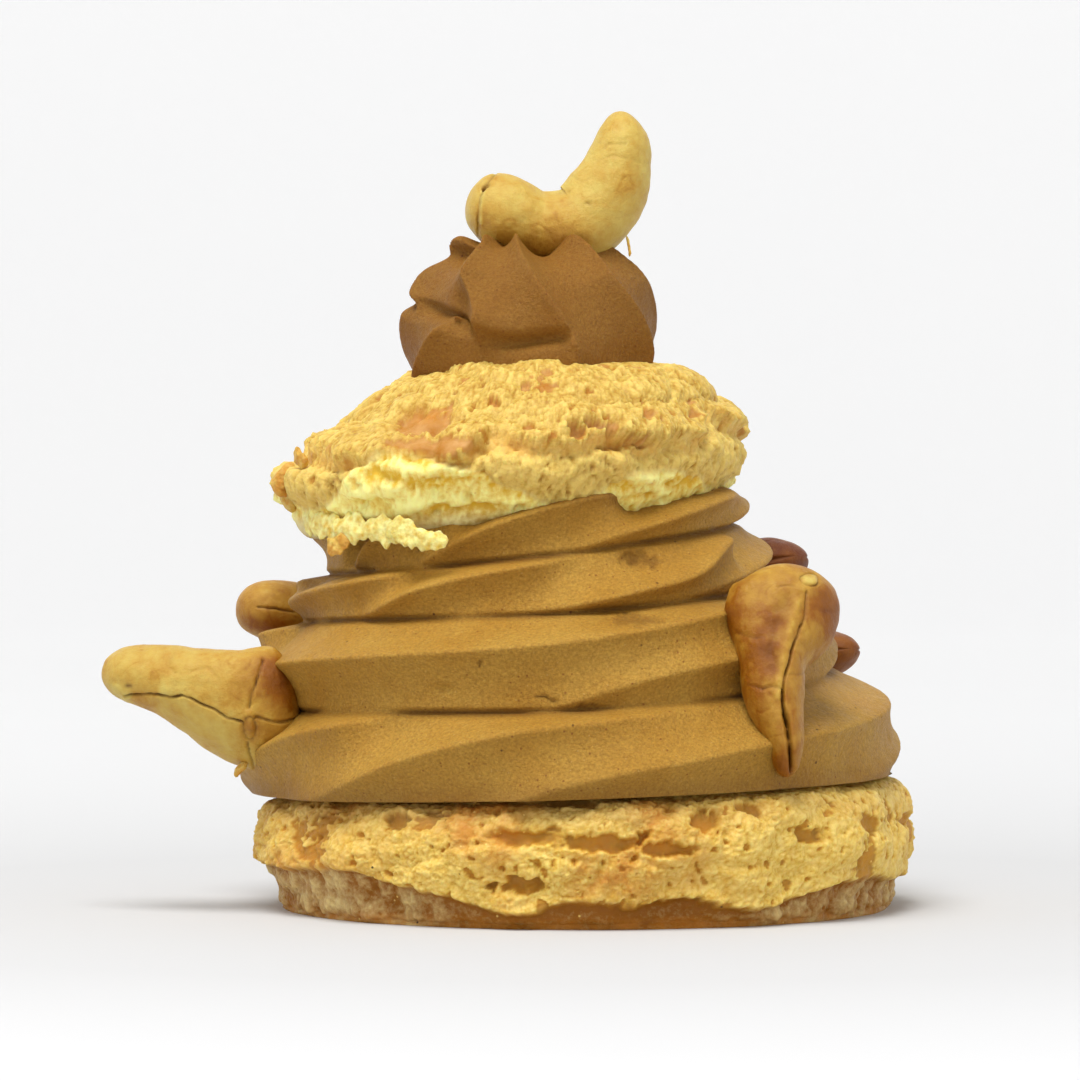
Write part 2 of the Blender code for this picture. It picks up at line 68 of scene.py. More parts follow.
# Choux base.
BASE_RADIUS = 40 * MM
BASE_HEIGHT = 15 * MM
BASE_TOP_SLOPE = math.tan(math.radians(1.8))
BASE_FOOT_TUCK = 1.4 * MM
BASE_OUTLINE = (
    (0.935, 0), (0.962, 0.05), (0.972, 0.18), (0.985, 0.34), (1, 0.5),
    (1, 0.68), (0.985, 0.84), (0.945, 0.95), (0.88, 1),
)
BASE_LIP_LINE = (  # degrees from the front towards +X, and height where the crust ends over the foot
    (-180, 4.2), (-75, 6), (-58, 5.8), (-44, 6.3), (-38, 5.2), (-26, 4), (-15, 2.1), (-9, 2),
    (-6, 3), (2, 3), (8, 2.6), (13, 3.6), (19, 3.4), (24, 2.5), (36, 2.7), (48, 4.6), (70, 4.4),
    (120, 3.4), (180, 4.2),
)
UNDERSIDE_MARKS = (0, 0.5, 1, 1, 0)
TOP_MARKS = (1, 0.5, 0, 0, 1)
# Smooth hollows where the crumbly layer is missing: degrees from the front towards +X, height,
# half width, half height and depth in millimetres.
BASE_BARE = (
    (-10, 10.8, 4.6, 1, 0.9), (2, 10.1, 4.6, 0.9, 1), (13.5, 9.3, 2.8, 0.8, 1),
    (8.5, 10.6, 0.7, 0.7, 1.5), (-34, 12.3, 1.4, 0.8, 0.9), (-11.4, 5.2, 2.2, 0.9, 1.8),
    (-16.5, 4.8, 0.7, 0.6, 1.2), (-53, 9.4, 0.7, 0.6, 1.2), (-67, 8.5, 0.5, 0.6, 1.1),
    (20, 12.5, 1.7, 1.2, 0.9), (29, 13.6, 1.6, 0.8, 0.8), (40.5, 10.5, 2.2, 0.8, 1),
    (56.5, 11.3, 1.6, 1, 0.9), (54, 7.2, 0.45, 1.7, 0.8), (15.3, 1.7, 7, 1.4, 0.9),
    (150, 9.5, 4, 0.9, 1), (-130, 10.2, 3.6, 0.8, 0.9), (105, 8.2, 1.2, 0.9, 1.3),
    (-160, 6, 1, 0.8, 1.3), (80, 10.8, 3, 0.8, 0.9),
)

# Cream tower.
# It is one rope, wound up in laps. A turn counts them, from 0 at the front of the lowest, and the
# tables give the height of the rope's upper seam and how far it reaches out at each turn. Each
# ridge's five turns are where it leaves the lower seam, where it is a quarter, half and three
# quarters of the way up the rope, and where it meets the upper seam.
TOWER_AXIS = ((12, -1.3), (20, -2), (31.6, -4.8), (43, -5.7), (60, -5.9))
LAP_TOP = (
    (-2, 0), (-1, 13.5), (-0.75, 15.4), (-0.5, 19.3), (-0.25, 23.7), (-0.1, 24.5), (0, 24.9),
    (0.12, 26.6), (0.25, 29.1), (0.5, 31.8), (0.75, 34.4), (0.92, 35.4), (1, 35.9), (1.12, 37.6),
    (1.25, 39.3), (1.5, 39.9), (1.75, 40.3), (1.9, 41.2), (2, 42.6), (2.12, 45), (2.25, 46.8),
    (2.5, 47.6), (2.75, 48.4), (3, 50.5), (3.25, 53.5), (3.6, 56), (4.6, 60),
)
LAP_REACH = (
    (-1, 40), (-0.25, 40.8), (0.25, 40.9), (0.5, 39.2), (0.75, 36.8), (1, 36.9), (1.25, 36.6),
    (1.5, 34.4), (1.75, 31.4), (2, 31.6), (2.25, 29), (2.75, 28.2), (3, 27.6), (3.25, 26.8),
    (3.6, 23), (4.6, 16),
)
CREASE_DEPTH = 2.1 * MM
ROPE_BELLY = 2.3 * MM
FACET_SAG = 0.8 * MM
RIDGE_FADE = 0.8
RIDGES = (
    (-1, -0.9, -0.8, -0.7, -0.6), (-0.84, -0.75, -0.66, -0.57, -0.46),
    (-0.68, -0.59, -0.5, -0.41, -0.3), (-0.5, -0.43, -0.36, -0.29, -0.2),
    (-0.33, -0.27, -0.215, -0.165, -0.09), (-0.18, -0.125, -0.09, -0.045, 0.11),
    (-0.045, -0.005, 0.065, 0.25, 0.42), (0.12, 0.22, 0.3, 0.4, 0.56), (0.32, 0.4, 0.48, 0.58, 0.7),
    (0.46, 0.54, 0.62, 0.69, 0.78), (0.58, 0.68, 0.8, 1.02, 1.15), (0.99, 1.045, 1.16, 1.26, 1.37),
    (1.18, 1.26, 1.33, 1.42, 1.52), (1.34, 1.42, 1.49, 1.57, 1.66), (1.5, 1.57, 1.64, 1.71, 1.8),
    (1.64, 1.71, 1.78, 1.85, 1.92), (1.865, 1.895, 1.915, 1.95, 2.03), (1.985, 2.06, 2.115, 2.135, 2.17),
    (2.08, 2.15, 2.22, 2.31, 2.4), (2.24, 2.32, 2.4, 2.48, 2.56), (2.42, 2.49, 2.56, 2.63, 2.7),
    (2.57, 2.64, 2.71, 2.77, 2.83), (2.835, 2.855, 2.875, 2.905, 2.96), (2.9, 2.935, 2.965, 3.01, 3.09),
    (3.02, 3.08, 3.14, 3.22, 3.32), (3.16, 3.24, 3.32, 3.41, 3.5), (3.34, 3.42, 3.5, 3.6, 3.7),
)
TOWER_TOP = 53 * MM
TOWER_TOP_ROUND = 3.6 * MM
TOWER_FLOOR = 12.6 * MM
TOWER_REACH = 34 * MM  # about how wide it is, for the gouges' places
LAP_CREASE = 1  # mm that the seams between the laps are drawn in
TOWER_DENTS = (  # smooth dents: turn, height, half width, half height and depth
    (2.075, 41.3, 2.6, 1.2, 0.8), (2.045, 36.1, 3.4, 0.8, 1), (0.94, 27.5, 1.2, 0.5, 0.5),
)
TOWER_GOUGES = (  # ragged ones, as BASE_BARE, round the tower's axis
    (26.5, 42.4, 2.2, 1, 1.3), (30.5, 41.7, 1.4, 0.6, 0.9), (19.5, 35.3, 3.3, 0.65, 1.5),
    (-2.6, 26.4, 1, 0.35, 0.7), (-12.5, 30.6, 0.35, 0.35, 0.7), (5, 25.6, 1.6, 0.3, 0.5),
)

# Choux lid: its outline on the left and on the right, as distances from its axis and heights.
LID_AXIS = -9.4 * MM
LID_LEFT = (
    (0, 46.2), (8, 45.9), (16, 45.5), (21.5, 45), (24.4, 44.9), (25.9, 46.4), (26.6, 48.4),
    (28.6, 50.4), (28.9, 52.4), (26.8, 54.7), (23.4, 56.3), (20.3, 57.7), (18.5, 59.8), (15.7, 62),
    (12, 63.9), (8, 65.4), (3.5, 66.3), (0, 66.6),
)
LID_RIGHT = (
    (0, 46.2), (8, 46.3), (15, 46.4), (19.6, 46.6), (22.6, 47.4), (24.8, 48.9), (26.6, 50.6),
    (28, 52.4), (28.7, 54.6), (28.5, 57), (27.8, 58.9), (26.6, 60.2), (24.7, 61.1), (24, 62.8),
    (20.9, 65), (16, 66.4), (8, 67), (0, 66.6),
)
# Degrees from the front about the lid's axis and height (mm) of the edge of the sugar crust, and
# of the line where the torn pale crumb begins below the browned skin.
LID_LIP_LINE = (
    (-180, 56), (-90, 56), (-60, 55), (-42, 54), (-20, 54), (-9, 54.6), (-6, 56.1), (5, 56),
    (12, 55.2), (17, 55.6), (24, 57.2), (33, 55.7), (45, 56.3), (56, 57.4), (62, 59.6), (75, 58.5),
    (110, 56), (180, 56),
)
LID_CRUMB_LINE = (
    (-180, 52), (-110, 51), (-90, 50.2), (-46, 50.2), (-38, 53), (-8, 52.2), (-1, 50.6), (8, 49.2),
    (13, 48.6), (22, 49.3), (31, 51.6), (52, 52), (67, 50.6), (90, 52), (180, 52),
)
LID_BARE = (  # as BASE_BARE, round the lid's own axis
    (-26, 58.3, 3.9, 1.5, 1.2), (38, 58.6, 1, 0.5, 0.7), (-4, 60.5, 0.9, 0.5, 0.7),
    (140, 60, 3, 1.2, 1), (-18, 55.3, 4.4, 0.9, -0.5), (17, 57, 1, 0.5, 1.2),
    (22, 57.9, 0.6, 0.4, 1), (27, 56, 1.4, 0.5, 0.9), (34, 56.2, 1.3, 0.6, 0.9),
)
LID_POCKETS = (  # the same, for the pockets in the torn crumb
    (-28, 52.2, 2.1, 0.7, 0.9), (-23, 51.3, 0.8, 0.7, 0.9), (-19, 51.4, 0.6, 0.4, 0.8),
    (-17.5, 48.3, 1.7, 0.7, 1), (-7.4, 47.9, 2.5, 0.6, 1), (-53, 48.9, 0.8, 0.6, 0.7),
    (46, 51, 1, 0.45, 1.5), (40.5, 49.7, 1.1, 0.35, 1), (37, 47.9, 0.7, 0.5, 0.8),
    (51, 49.3, 0.7, 0.3, 0.8), (47, 52, 0.9, 0.5, 0.8), (54, 51.8, 1.7, 0.8, 0.9),
    (100, 50, 2.2, 0.8, 1.2), (135, 49, 1.5, 0.7, 1.2), (180, 50.5, 2.5, 0.8, 1.2),
    (-130, 49.5, 2, 0.7, 1.2),
)
# Torn shreds and chips of the choux: the place of the root and of the tip, half width and half
# thickness (mm), how pale and how brown, and how far the middle bows outward.
SHREDS = (
    ((-33.8, -10.2, 46.8), (-28, -19, 45.9), 1.5, 0.45, 1, 0, 0.4),
    ((-30, -17.2, 46.4), (-21.4, -24.8, 45.4), 1.6, 0.5, 1, 0, 0.4),
    ((-24.4, -23, 46.3), (-16.2, -28, 44.2), 1.3, 0.35, 1, 0, 0.3),
    ((-28, -19.4, 45.2), (-30.6, -17.6, 42.9), 1.1, 0.4, 0, 0.9, 0.4),
    ((-35.2, -10.4, 53.8), (-36.6, -9.6, 49.6), 1.3, 0.8, 0, 0.9, 0.8),
    ((-36.6, -5.6, 50.6), (-35.2, -7.6, 48.2), 1.1, 0.5, 0.3, 0.6, 0.3),
    ((-34.6, -12.6, 55.2), (-33.2, -14.8, 53.6), 0.9, 0.5, 0, 0.5, 0.4),
    ((4.9, -1.2, 81.6), (5.3, -2, 79.2), 0.5, 0.22, 0.2, 0.5, 0.2),
    ((-40.6, -13.2, 18), (-41.8, -13.6, 16.2), 0.7, 0.4, 0.2, 0.4, 0.1),
)

# Rosette: its outline along the ridges and along the hollows between them.
ROSETTE_AXIS = -6.6 * MM
ROSETTE_RIDGE = (
    (14.6, 61), (15.6, 64), (16.2, 66.5), (16.5, 69), (16.2, 72), (15.2, 75), (13.7, 77.4), (11.8, 79.2),
    (9.8, 80.8), (7.8, 81.8), (5, 80.8), (0, 78.6),
)
ROSETTE_HOLLOW = (
    (13, 61), (13.6, 64), (13.9, 66.5), (14, 69), (13.5, 72), (12.4, 75), (10.9, 76.9), (9.3, 78.1),
    (7.7, 79), (6.2, 79.4), (4.2, 78.9), (0, 78.3),
)
ROSETTE_CLIMBS = (0.2, 0.34, 0.5, 0.68, 0.75)  # shares of the way from the foot to the middle
ROSETTE_RIDGES = (  # each ridge's angle at those climbs
    (-70, -80, -92, -88, -78), (-27, -26, -38, -38, -46), (20, 12, 0, -10, -14), (68, 57, 43, 43, 42),
    (118, 104, 88, 82, 80), (178, 166, 148, 134, 128), (222, 212, 200, 188, 182),
)
ROSETTE_LOW_CLIMBS = (0.05, 0.22, 0.34)
ROSETTE_LOW_RIDGES = ((-168, -150, -138), (-124, -104, -92), (-76, -54, -38), (20, 20, 20), (60, 60, 60))
ROSETTE_CREASE = (
    (-200, 77), (-120, 75), (-90, 73.6), (-52, 71.6), (-40, 70.8), (-28, 69.6), (-18, 68.6), (16, 68.8),
)
ROSETTE_CREASE_DEPTH = 1.5
ROSETTE_DENTS = (  # angle, height, half width, half height and depth; a knob has a negative depth
    (-37, 73, 9, 2.6, 1.8), (-84, 79.2, 26, 1.1, 1.6), (-72, 81.4, 20, 1.4, -1.3),
)

# Cashews, as in part.py: the way across each, then along its spine the place, half depth and
# half width.
CASHEWS = {
    "cashew_top": ((0.22, -1, 0), (
        (-14.5, -1.6, 85, 4.1, 4.6), (-11, -0.9, 84.8, 4.8, 5.2), (-5.6, -0.2, 83, 4.2, 4.9),
        (-0.8, 0, 83.2, 5, 4.8), (2.6, 0, 86.8, 4.9, 4.4), (4.2, 0, 91.4, 3.9, 3.9),
        (4.4, 0, 97, 2.4, 3),
    )),
    "cashew_left": ((-0.12, -0.3, 1), (
        (-34.6, -10.8, 24.5, 4.6, 6.1), (-38.2, -12, 24.5, 5.2, 7.5), (-42, -12.4, 25, 5, 7),
        (-46.2, -11.8, 26.5, 4.6, 5.5), (-50.6, -10.4, 27.9, 4.2, 4.2), (-54.2, -8.8, 28.5, 3.8, 3.5),
        (-57.7, -6.8, 28.8, 3.2, 2.6),
    )),
    "cashew_front": ((1, 0.22, 0), (
        (23.5, -24.2, 41.7, 3.8, 4.6), (23.3, -25, 38.4, 4.6, 6.4), (22.4, -26.4, 34.8, 4.8, 6.7),
        (21.5, -28.8, 30.4, 4.4, 4), (21.7, -30.6, 25.8, 3.8, 3.3), (22.8, -31.8, 21.2, 3.2, 2.3),
        (23, -32.2, 17.2, 2.4, 1.7),
    )),
    "cashew_rear_left": ((0.1, 0.3, 1), (
        (-43.4, 12, 36, 3.6, 3.2), (-40, 12.8, 35.9, 4.2, 3.7), (-35, 14.8, 35.4, 4.2, 3.6),
        (-31.4, 18.2, 35, 4, 3.5), (-29.6, 22.6, 35, 3.6, 3.2), (-29.8, 27.2, 35.4, 3, 2.6),
    )),
    "cashew_rear_high": ((-0.2, 0.2, 1), (
        (27.2, 14, 42.6, 3.4, 1.9), (24.2, 16.6, 41.6, 4.4, 3.6), (20.4, 20, 40.4, 4.4, 3.9),
        (15.6, 22.2, 39.8, 4.2, 3.7), (10.6, 22.2, 39.6, 3.6, 3.2), (6.2, 20.4, 39.6, 2.8, 2.6),
    )),
    "cashew_rear_low": ((-0.2, 0.3, 1), (
        (33.9, 15.6, 30.9, 2.6, 1.7), (31.2, 18.6, 30.4, 3.8, 2.9), (27.4, 22, 29.6, 4.2, 3.6),
        (22.2, 24.2, 28.8, 4.2, 3.7), (17.2, 24.2, 28.4, 3.6, 3.2), (12.8, 22.4, 28.4, 2.8, 2.6),
    )),
}
# How toasted each nut is, and its darker patches: place (mm), radius (mm) and amount.
TOAST = {
    "cashew_top": (0.1, (
        (-13, -5, 83, 2, 0.22), (-9, -5, 80.5, 3.5, 0.3), (-3, -5, 79.6, 4, 0.35),
        (5, -4, 88, 2.2, 0.18), (-12.6, -4, 79.8, 1, 0.6), (3.4, -3, 95.5, 1.2, 0.15),
        (-11, -4, 88.6, 1.2, 0.2),
    )),
    "cashew_left": (0.18, (
        (-37, -16, 29.4, 3, 0.45), (-36.4, -15, 26.2, 2.8, 0.55), (-36.8, -16, 20, 2.4, 0.28),
        (-41, -17, 27, 2.6, 0.16), (-50, -13, 28.4, 1.8, 0.3), (-53, -12, 24.6, 2, 0.26),
        (-39.8, -17, 22.6, 1.3, 0.38), (-36.2, -12, 31, 1.8, 0.3), (-45, -16, 30.8, 1.6, 0.15),
    )),
    "cashew_front": (0.46, (
        (17.2, -28, 35.5, 2.2, 0.28), (28.6, -28, 36.2, 2.6, 0.34), (21.4, -31, 35.2, 1.5, 0.32),
        (21, -32, 31.6, 1.3, 0.34), (18.6, -31, 29.8, 2.2, 0.24), (21.4, -33, 29.6, 1, 0.2),
        (22, -34, 18.5, 1.6, 0.28), (19.5, -32, 26.5, 1.6, 0.2), (25.8, -30, 40.2, 1.6, -0.35),
        (21, -28, 40.6, 2.4, -0.2),
    )),
    "cashew_rear_left": (0.36, ((-42, 8.5, 33.2, 2.4, 0.35), (-38.5, 9, 33, 2.2, 0.3))),
    "cashew_rear_high": (0.95, ()),
    "cashew_rear_low": (0.75, ()),
}

# Lines and dimples pressed into the front of each nut: half width and depth in millimetres, how
# dark, and the points (x, z) that it runs through. A negative depth stands out.
NUT_LINES = {
    "cashew_top": (
        (0.14, 0.4, 0.5, ((-10.9, 89.3), (-12, 87.9), (-12.6, 86.4), (-12.95, 84.4), (-13, 81.5))),
        (0.22, -0.22, -0.4, ((-12.3, 86.9), (-12.65, 85.2), (-12.7, 83))),
        (0.32, 0.55, 0.7, ((-12.3, 87.5), (-11.9, 87.8))),
        (0.2, 0.13, 0.1, ((0.8, 91.5), (1.9, 91.8), (2.6, 92.7), (4.9, 92.7))),
        (0.2, 0.11, 0.1, ((1.2, 90.7), (3.2, 91.3), (4.6, 91), (6.7, 90.6))),
        (0.18, 0.1, 0.1, ((-1.6, 88.9), (-0.4, 88.1), (0.6, 88.5))),
        (0.3, 0.16, 0.2, ((-3, 86.9), (-2.1, 87))), (0.22, 0.18, 0.3, ((0.2, 85.4), (0.5, 85.3))),
    ),
    "cashew_left": (
        (0.13, 0.6, 1, (
            (-55.2, 26), (-52.6, 26.2), (-50.9, 26.2), (-49.6, 25.9), (-48.1, 26.1), (-47.1, 25.9),
            (-46.2, 25.4), (-43.8, 24.4), (-42.5, 23.5), (-40.9, 23.1),
        )),
        (0.13, 0.5, 0.8, ((-38.4, 30.4), (-38.8, 28.7), (-39.4, 27), (-39.8, 25.5), (-40, 24.6))),
        (0.13, 0.45, 0.6, ((-40.2, 20.6), (-40.1, 19.2), (-39.6, 17.2))),
        (0.16, 0.5, 0.6, ((-39.1, 23.6), (-37.9, 23.2), (-36.2, 22.9), (-34.4, 23.3))),
        (0.55, -0.45, -0.1, ((-39.9, 23.9), (-39.8, 22.9), (-39.8, 21.9))),
        (0.11, 0.32, 0.4, oval(-39.9, 22.3, 0.75, 1.4)),
        (0.8, -0.35, -0.3, ((-50, 26.9), (-49.9, 26.8))),
        (0.45, -0.3, -0.6, ((-56.2, 26.9), (-55, 25.9))),
        (0.25, 0.2, 0.8, ((-54.8, 27.1), (-54.4, 27.1))),
        (0.22, 0.12, 0.1, ((-49.2, 31), (-49.7, 29.6), (-48.9, 28.8))),
        (0.22, 0.1, 0.1, ((-46.8, 29), (-44.9, 29.4), (-43.6, 28.2))),
    ),
    "cashew_front": (
        (0.95, 0.4, 0.3, ((22.7, 37.2), (21.7, 35.2), (20.9, 32.7), (21.3, 30.2))),
        (0.55, -0.25, -0.25, ((24.3, 37.4), (23.8, 35), (22.9, 32.4), (22.3, 29.6), (21.8, 26.8))),
        (0.13, 0.3, 0.3, ((25.4, 38.6), (25.3, 36.3), (24.8, 34.6))),
        (0.17, 0.75, 0.8, (
            (24.8, 34.8), (24.2, 33.4), (23.6, 31.9), (23.1, 30.1), (22.65, 28.7), (22.4, 27.3),
        )),
        (0.2, 1, 1, ((22.4, 27.3), (22.4, 26.2), (22.6, 24.9), (22.9, 23.5))),
        (0.32, 1.5, 1, ((22.7, 24.6), (23, 22.6), (23.3, 20.6), (23.5, 18.8), (23.7, 17))),
        (0.6, -0.3, -0.5, ((25.5, 40.1), (26.3, 40))),
        (0.11, 0.32, 0.5, oval(25.9, 40, 1.15, 0.75)),
        (0.12, 0.14, 0.3, ((22.2, 39.2), (23.2, 39.4), (24, 39.3))),
        (0.14, 0.22, 0.4, ((17.4, 33.8), (18.8, 33.4), (20.4, 33.5))),
        (0.16, 0.26, 0.4, ((18.6, 27.9), (20, 27.5), (21, 27.8), (22.2, 27.5))),
        (0.12, 0.15, 0.3, ((22.7, 29.2), (24.4, 29), (25.2, 29.3))),
    ),
    "cashew_rear_left": ((0.16, 0.45, 0.9, ((-40.4, 36.3), (-38.6, 36.1), (-36, 35.6))),),
}


# --- numbers ---


def smooth_curve(knots, at):
    """Values at the places `at` of a smooth line through knots, each a place and its values."""
    table = np.array(knots, float)
    x, y = table[:, 0], table[:, 1:]
    slope = np.gradient(y, x, axis=0)
    i = np.clip(np.searchsorted(x, at) - 1, 0, len(x) - 2)
    h = (x[i + 1] - x[i])[..., None]
    s = np.clip((at - x[i]) / h[..., 0], 0, 1)[..., None]
    return (
        y[i] * (1 + 2 * s) * (1 - s) ** 2
        + y[i + 1] * s * s * (3 - 2 * s)
        + h * s * (1 - s) * (slope[i] * (1 - s) - slope[i + 1] * s)
    )


def value_at(knots, at):
    """The same for knots that have one value each."""
    return smooth_curve(knots, np.asarray(at, float))[..., 0]


def along_line(points, shares):
    """Places at these shares of the length of a smooth line through the points."""
    table = np.array(points, float)
    steps = np.linalg.norm(np.diff(table[:, :3], axis=0), axis=1)
    lengths = np.concatenate([[0], np.cumsum(steps)])
    return smooth_curve(np.column_stack([lengths, table]), shares * lengths[-1])


def evenly_along(points, count):
    """`count` evenly spaced places along that line."""
    return along_line(points, np.linspace(0, 1, count))


def smooth_step(x, low, high):
    """A smooth rise from 0 at `low` to 1 at `high`."""
    t = np.clip((x - low) / (high - low), 0, 1)
    return t * t * (3 - 2 * t)


def step(x, low, high):
    """The same for one number, and faster."""
    t = clamp((x - low) / (high - low))
    return t * t * (3 - 2 * t)


def clamp(x):
    return min(max(x, 0.0), 1.0)


def wave(point, size, seed):
    """Smooth noise from -1 to 1 with features of this size."""
    return noise.noise(Vector(point) / size + Vector((seed, seed * 1.7, -seed)))


def waves(point, *parts):
    """The sum of smooth noises, each given by its height, feature size (mm) and seed."""
    return sum(height * wave(point, size * MM, seed) for height, size, seed in parts)


def cells(point, size, seed):
    """Distances to the nearest and second nearest of random dots this far apart, in sizes."""
    near, _ = noise.voronoi(Vector(point) / size + Vector((seed, -seed, seed * 0.6)))
    return near[0], near[1]


def cracks(point, size, seed):
    """From 1 on the lines between rounded plates of this size to 0 on the plates."""
    near, next_near = cells(point, size, seed)
    return math.exp(-(((next_near - near) / CRACK_WIDTH) ** 2))


def even_angles(columns):
    """This many angles once round."""
    return np.arange(columns) * 2 * math.pi / columns


def front_angles(columns, pull):
    """Angles once round, closer together at the front."""
    even = even_angles(columns)
    return FRONT + even - pull * np.sin(even)


def from_front(angle):
    """Degrees from the front towards +X, from -180 to 180."""
    return (math.degrees(angle - FRONT) + 180) % 360 - 180


# --- meshes ---


def place_in_scene(name, data):
    """A new object in the scene with this data."""
    thing = bpy.data.objects.new(name, data)
    bpy.context.scene.collection.objects.link(thing)
    return thing


def smooth_mesh(name, points, faces, material):
    """A smoothly shaded mesh in the scene."""
    mesh = bpy.data.meshes.new(name)
    mesh.from_pydata(points, [], faces)
    mesh.materials.append(material)
    mesh.shade_smooth()
    return place_in_scene(name, mesh)


def strip_quads(rows, columns):
    """The faces between rings of points, row by row."""
    a = np.arange(columns)
    b = (a + 1) % columns
    base = np.arange(rows - 1)[:, None] * columns
    quads = np.stack([base + a, base + b, base + b + columns, base + a + columns], 2)
    return quads.reshape(-1, 4).tolist()


def fan(middle, first, columns):
    """The faces between a middle point and the ring of points that starts at `first`."""
    return [(middle, first + (k + 1) % columns, first + k) for k in range(columns)]


def with_ends(rings):
    """The rings' values one after another, then the averages of the first and the last ring."""
    ends = rings[[0, -1]].mean(axis=1)
    return np.concatenate([rings.reshape(-1, *rings.shape[2:]), ends])


def ring_piece(name, rings, material, node, marks=None):
    """A closed mesh through rings of points, which stands for a CAD node. marks are numbers kept
    on its points for the material, one array for each name."""
    rows, columns, _ = rings.shape
    low, last = rows * columns, (rows - 1) * columns
    caps = fan(low, 0, columns) + [face[::-1] for face in fan(low + 1, last, columns)]
    faces = strip_quads(rows, columns) + caps
    piece = smooth_mesh(name, with_ends(rings).tolist(), faces, material)
    for mark, values in (marks or {}).items():
        layer = piece.data.attributes.new(mark, "FLOAT", "POINT")
        layer.data.foreach_set("value", with_ends(values).astype(np.float32))
    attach(piece, "root")
    if node:
        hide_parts(node)
    return piece


# --- materials ---


def srgb(*parts):
    """A linear colour from 0-255 screen values."""
    return (*(((p / 255 + 0.055) / 1.055) ** 2.4 if p > 10 else p / 3294.6 for p in parts), 1.0)


class Nodes:
    """Short calls for building one material's node tree."""

    def __init__(self, name):
        self.material = bpy.data.materials.new(name)
        self.material.use_nodes = True
        self.tree = self.material.node_tree
        self.shader = self.tree.nodes["Principled BSDF"]
        self.place = self.tree.nodes.new("ShaderNodeTexCoord").outputs["Object"]

    def add(self, kind, inputs, **settings):
        node = self.tree.nodes.new(kind)
        for key, value in settings.items():
            setattr(node, key, value)
        for key, value in inputs.items():
            if isinstance(value, bpy.types.NodeSocket):
                self.tree.links.new(value, node.inputs[key])
            else:
                node.inputs[key].default_value = value
        return node

    def noise(self, size, detail=2.0, rough=0.5):
        """Smooth noise with features of this size (mm)."""
        scale = 1 / (size * MM)
        inputs = {"Vector": self.place, "Scale": scale, "Detail": detail, "Roughness": rough}
        return self.add("ShaderNodeTexNoise", inputs).outputs["Fac"]

    def cloud(self, size, detail=2.0, rough=0.5, to_low=0.0, to_high=1.0):
        """The same, drawn out to these limits."""
        return self.range(self.noise(size, detail, rough), 0.3, 0.7, to_low, to_high)

    def dots(self, size):
        """The outputs of a pattern of random dots this far apart (mm)."""
        inputs = {"Vector": self.place, "Scale": 1 / (size * MM)}
        return self.add("ShaderNodeTexVoronoi", inputs, feature="F1").outputs

    def mark(self, name):
        return self.add("ShaderNodeAttribute", {}, attribute_name=name).outputs["Fac"]

    def range(self, value, low, high, to_low=0.0, to_high=1.0):
        inputs = {"Value": value, "From Min": low, "From Max": high, "To Min": to_low, "To Max": to_high}
        return self.add("ShaderNodeMapRange", inputs).outputs["Result"]

    def math(self, operation, first, second):
        return self.add("ShaderNodeMath", {0: first, 1: second}, operation=operation).outputs[0]

    def mix(self, share, first, second):
        node = self.add("ShaderNodeMix", {0: share, 6: first, 7: second}, data_type="RGBA")
        return node.outputs[2]

    def tint(self, colour, where, amount, towards):
        """The colour, drawn this much towards another one where `where` is 1."""
        return self.mix(self.math("MULTIPLY", where, amount), colour, towards)

    def specks(self, colour, size, share, radius, amount, towards):
        """The colour with round specks of another one, in a share of the cells of this size."""
        cell = self.dots(size)
        inside = self.range(cell["Distance"], radius / size, radius / size * 0.6)
        parts = self.add("ShaderNodeSeparateColor", {"Color": cell["Color"]})
        chosen = self.math("LESS_THAN", parts.outputs[0], share)
        return self.tint(colour, self.math("MULTIPLY", inside, chosen), amount, towards)

    def bump(self, height, distance, strength=1.0, under=None):
        """A normal bent by a height of up to this distance (mm), over another one."""
        inputs = {"Height": height, "Distance": distance * MM, "Strength": strength}
        if under:
            inputs["Normal"] = under
        return self.add("ShaderNodeBump", inputs).outputs["Normal"]

    def finish(self, colour, roughness, normal, scatter, reach, specular=0.4):
        links, shader = self.tree.links, self.shader
        links.new(colour, shader.inputs["Base Color"])
        links.new(roughness, shader.inputs["Roughness"])
        links.new(normal, shader.inputs["Normal"])
        shader.inputs["Subsurface Weight"].default_value = scatter
        shader.inputs["Subsurface Radius"].default_value = reach
        shader.inputs["Subsurface Scale"].default_value = MM
        shader.inputs["Specular IOR Level"].default_value = specular
        return self.material


NUT_SPECKS = (  # in the cream: their spacing (mm), share, radius (mm), strength and colour
    (0.7, 0.35, 0.12, 0.45, (206, 168, 96)), (1.0, 0.42, 0.16, 0.65, (116, 58, 24)),
    (2.6, 0.36, 0.22, 0.8, (72, 40, 20)),
)


def cream_material(name, shade):
    """Nut cream. shade darkens it, as painted shade."""
    n = Nodes(name)
    grain = n.cloud(0.35, 3.0, 0.7)
    colour = n.mix(n.range(n.noise(9, 3.0), 0.35, 0.65), srgb(188, 140, 52), srgb(199, 155, 66))
    colour = n.tint(colour, grain, 0.65, srgb(128, 86, 28))
    for size, share, radius, amount, towards in NUT_SPECKS:
        colour = n.specks(colour, size, share, radius, amount, srgb(*towards))
    # shade: painted shade, which darkens the whole cream for the rosette's copy.
    colour = n.mix(shade, colour, srgb(104, 50, 10))
    # Painted shade along the seams between the laps, along the foot, beside the lid and in the gouges.
    colour = n.tint(colour, n.mark("crease"), 0.75, srgb(92, 50, 16))
    roughness = n.cloud(1.5, to_low=0.42, to_high=0.58)
    normal = n.bump(n.noise(0.40, 4.0, 0.75), 0.30)
    normal = n.bump(n.noise(1.6, 3.0), 0.22, 0.6, normal)
    return n.finish(colour, roughness, normal, 0.15, (1.2, 0.6, 0.25), 0.18)
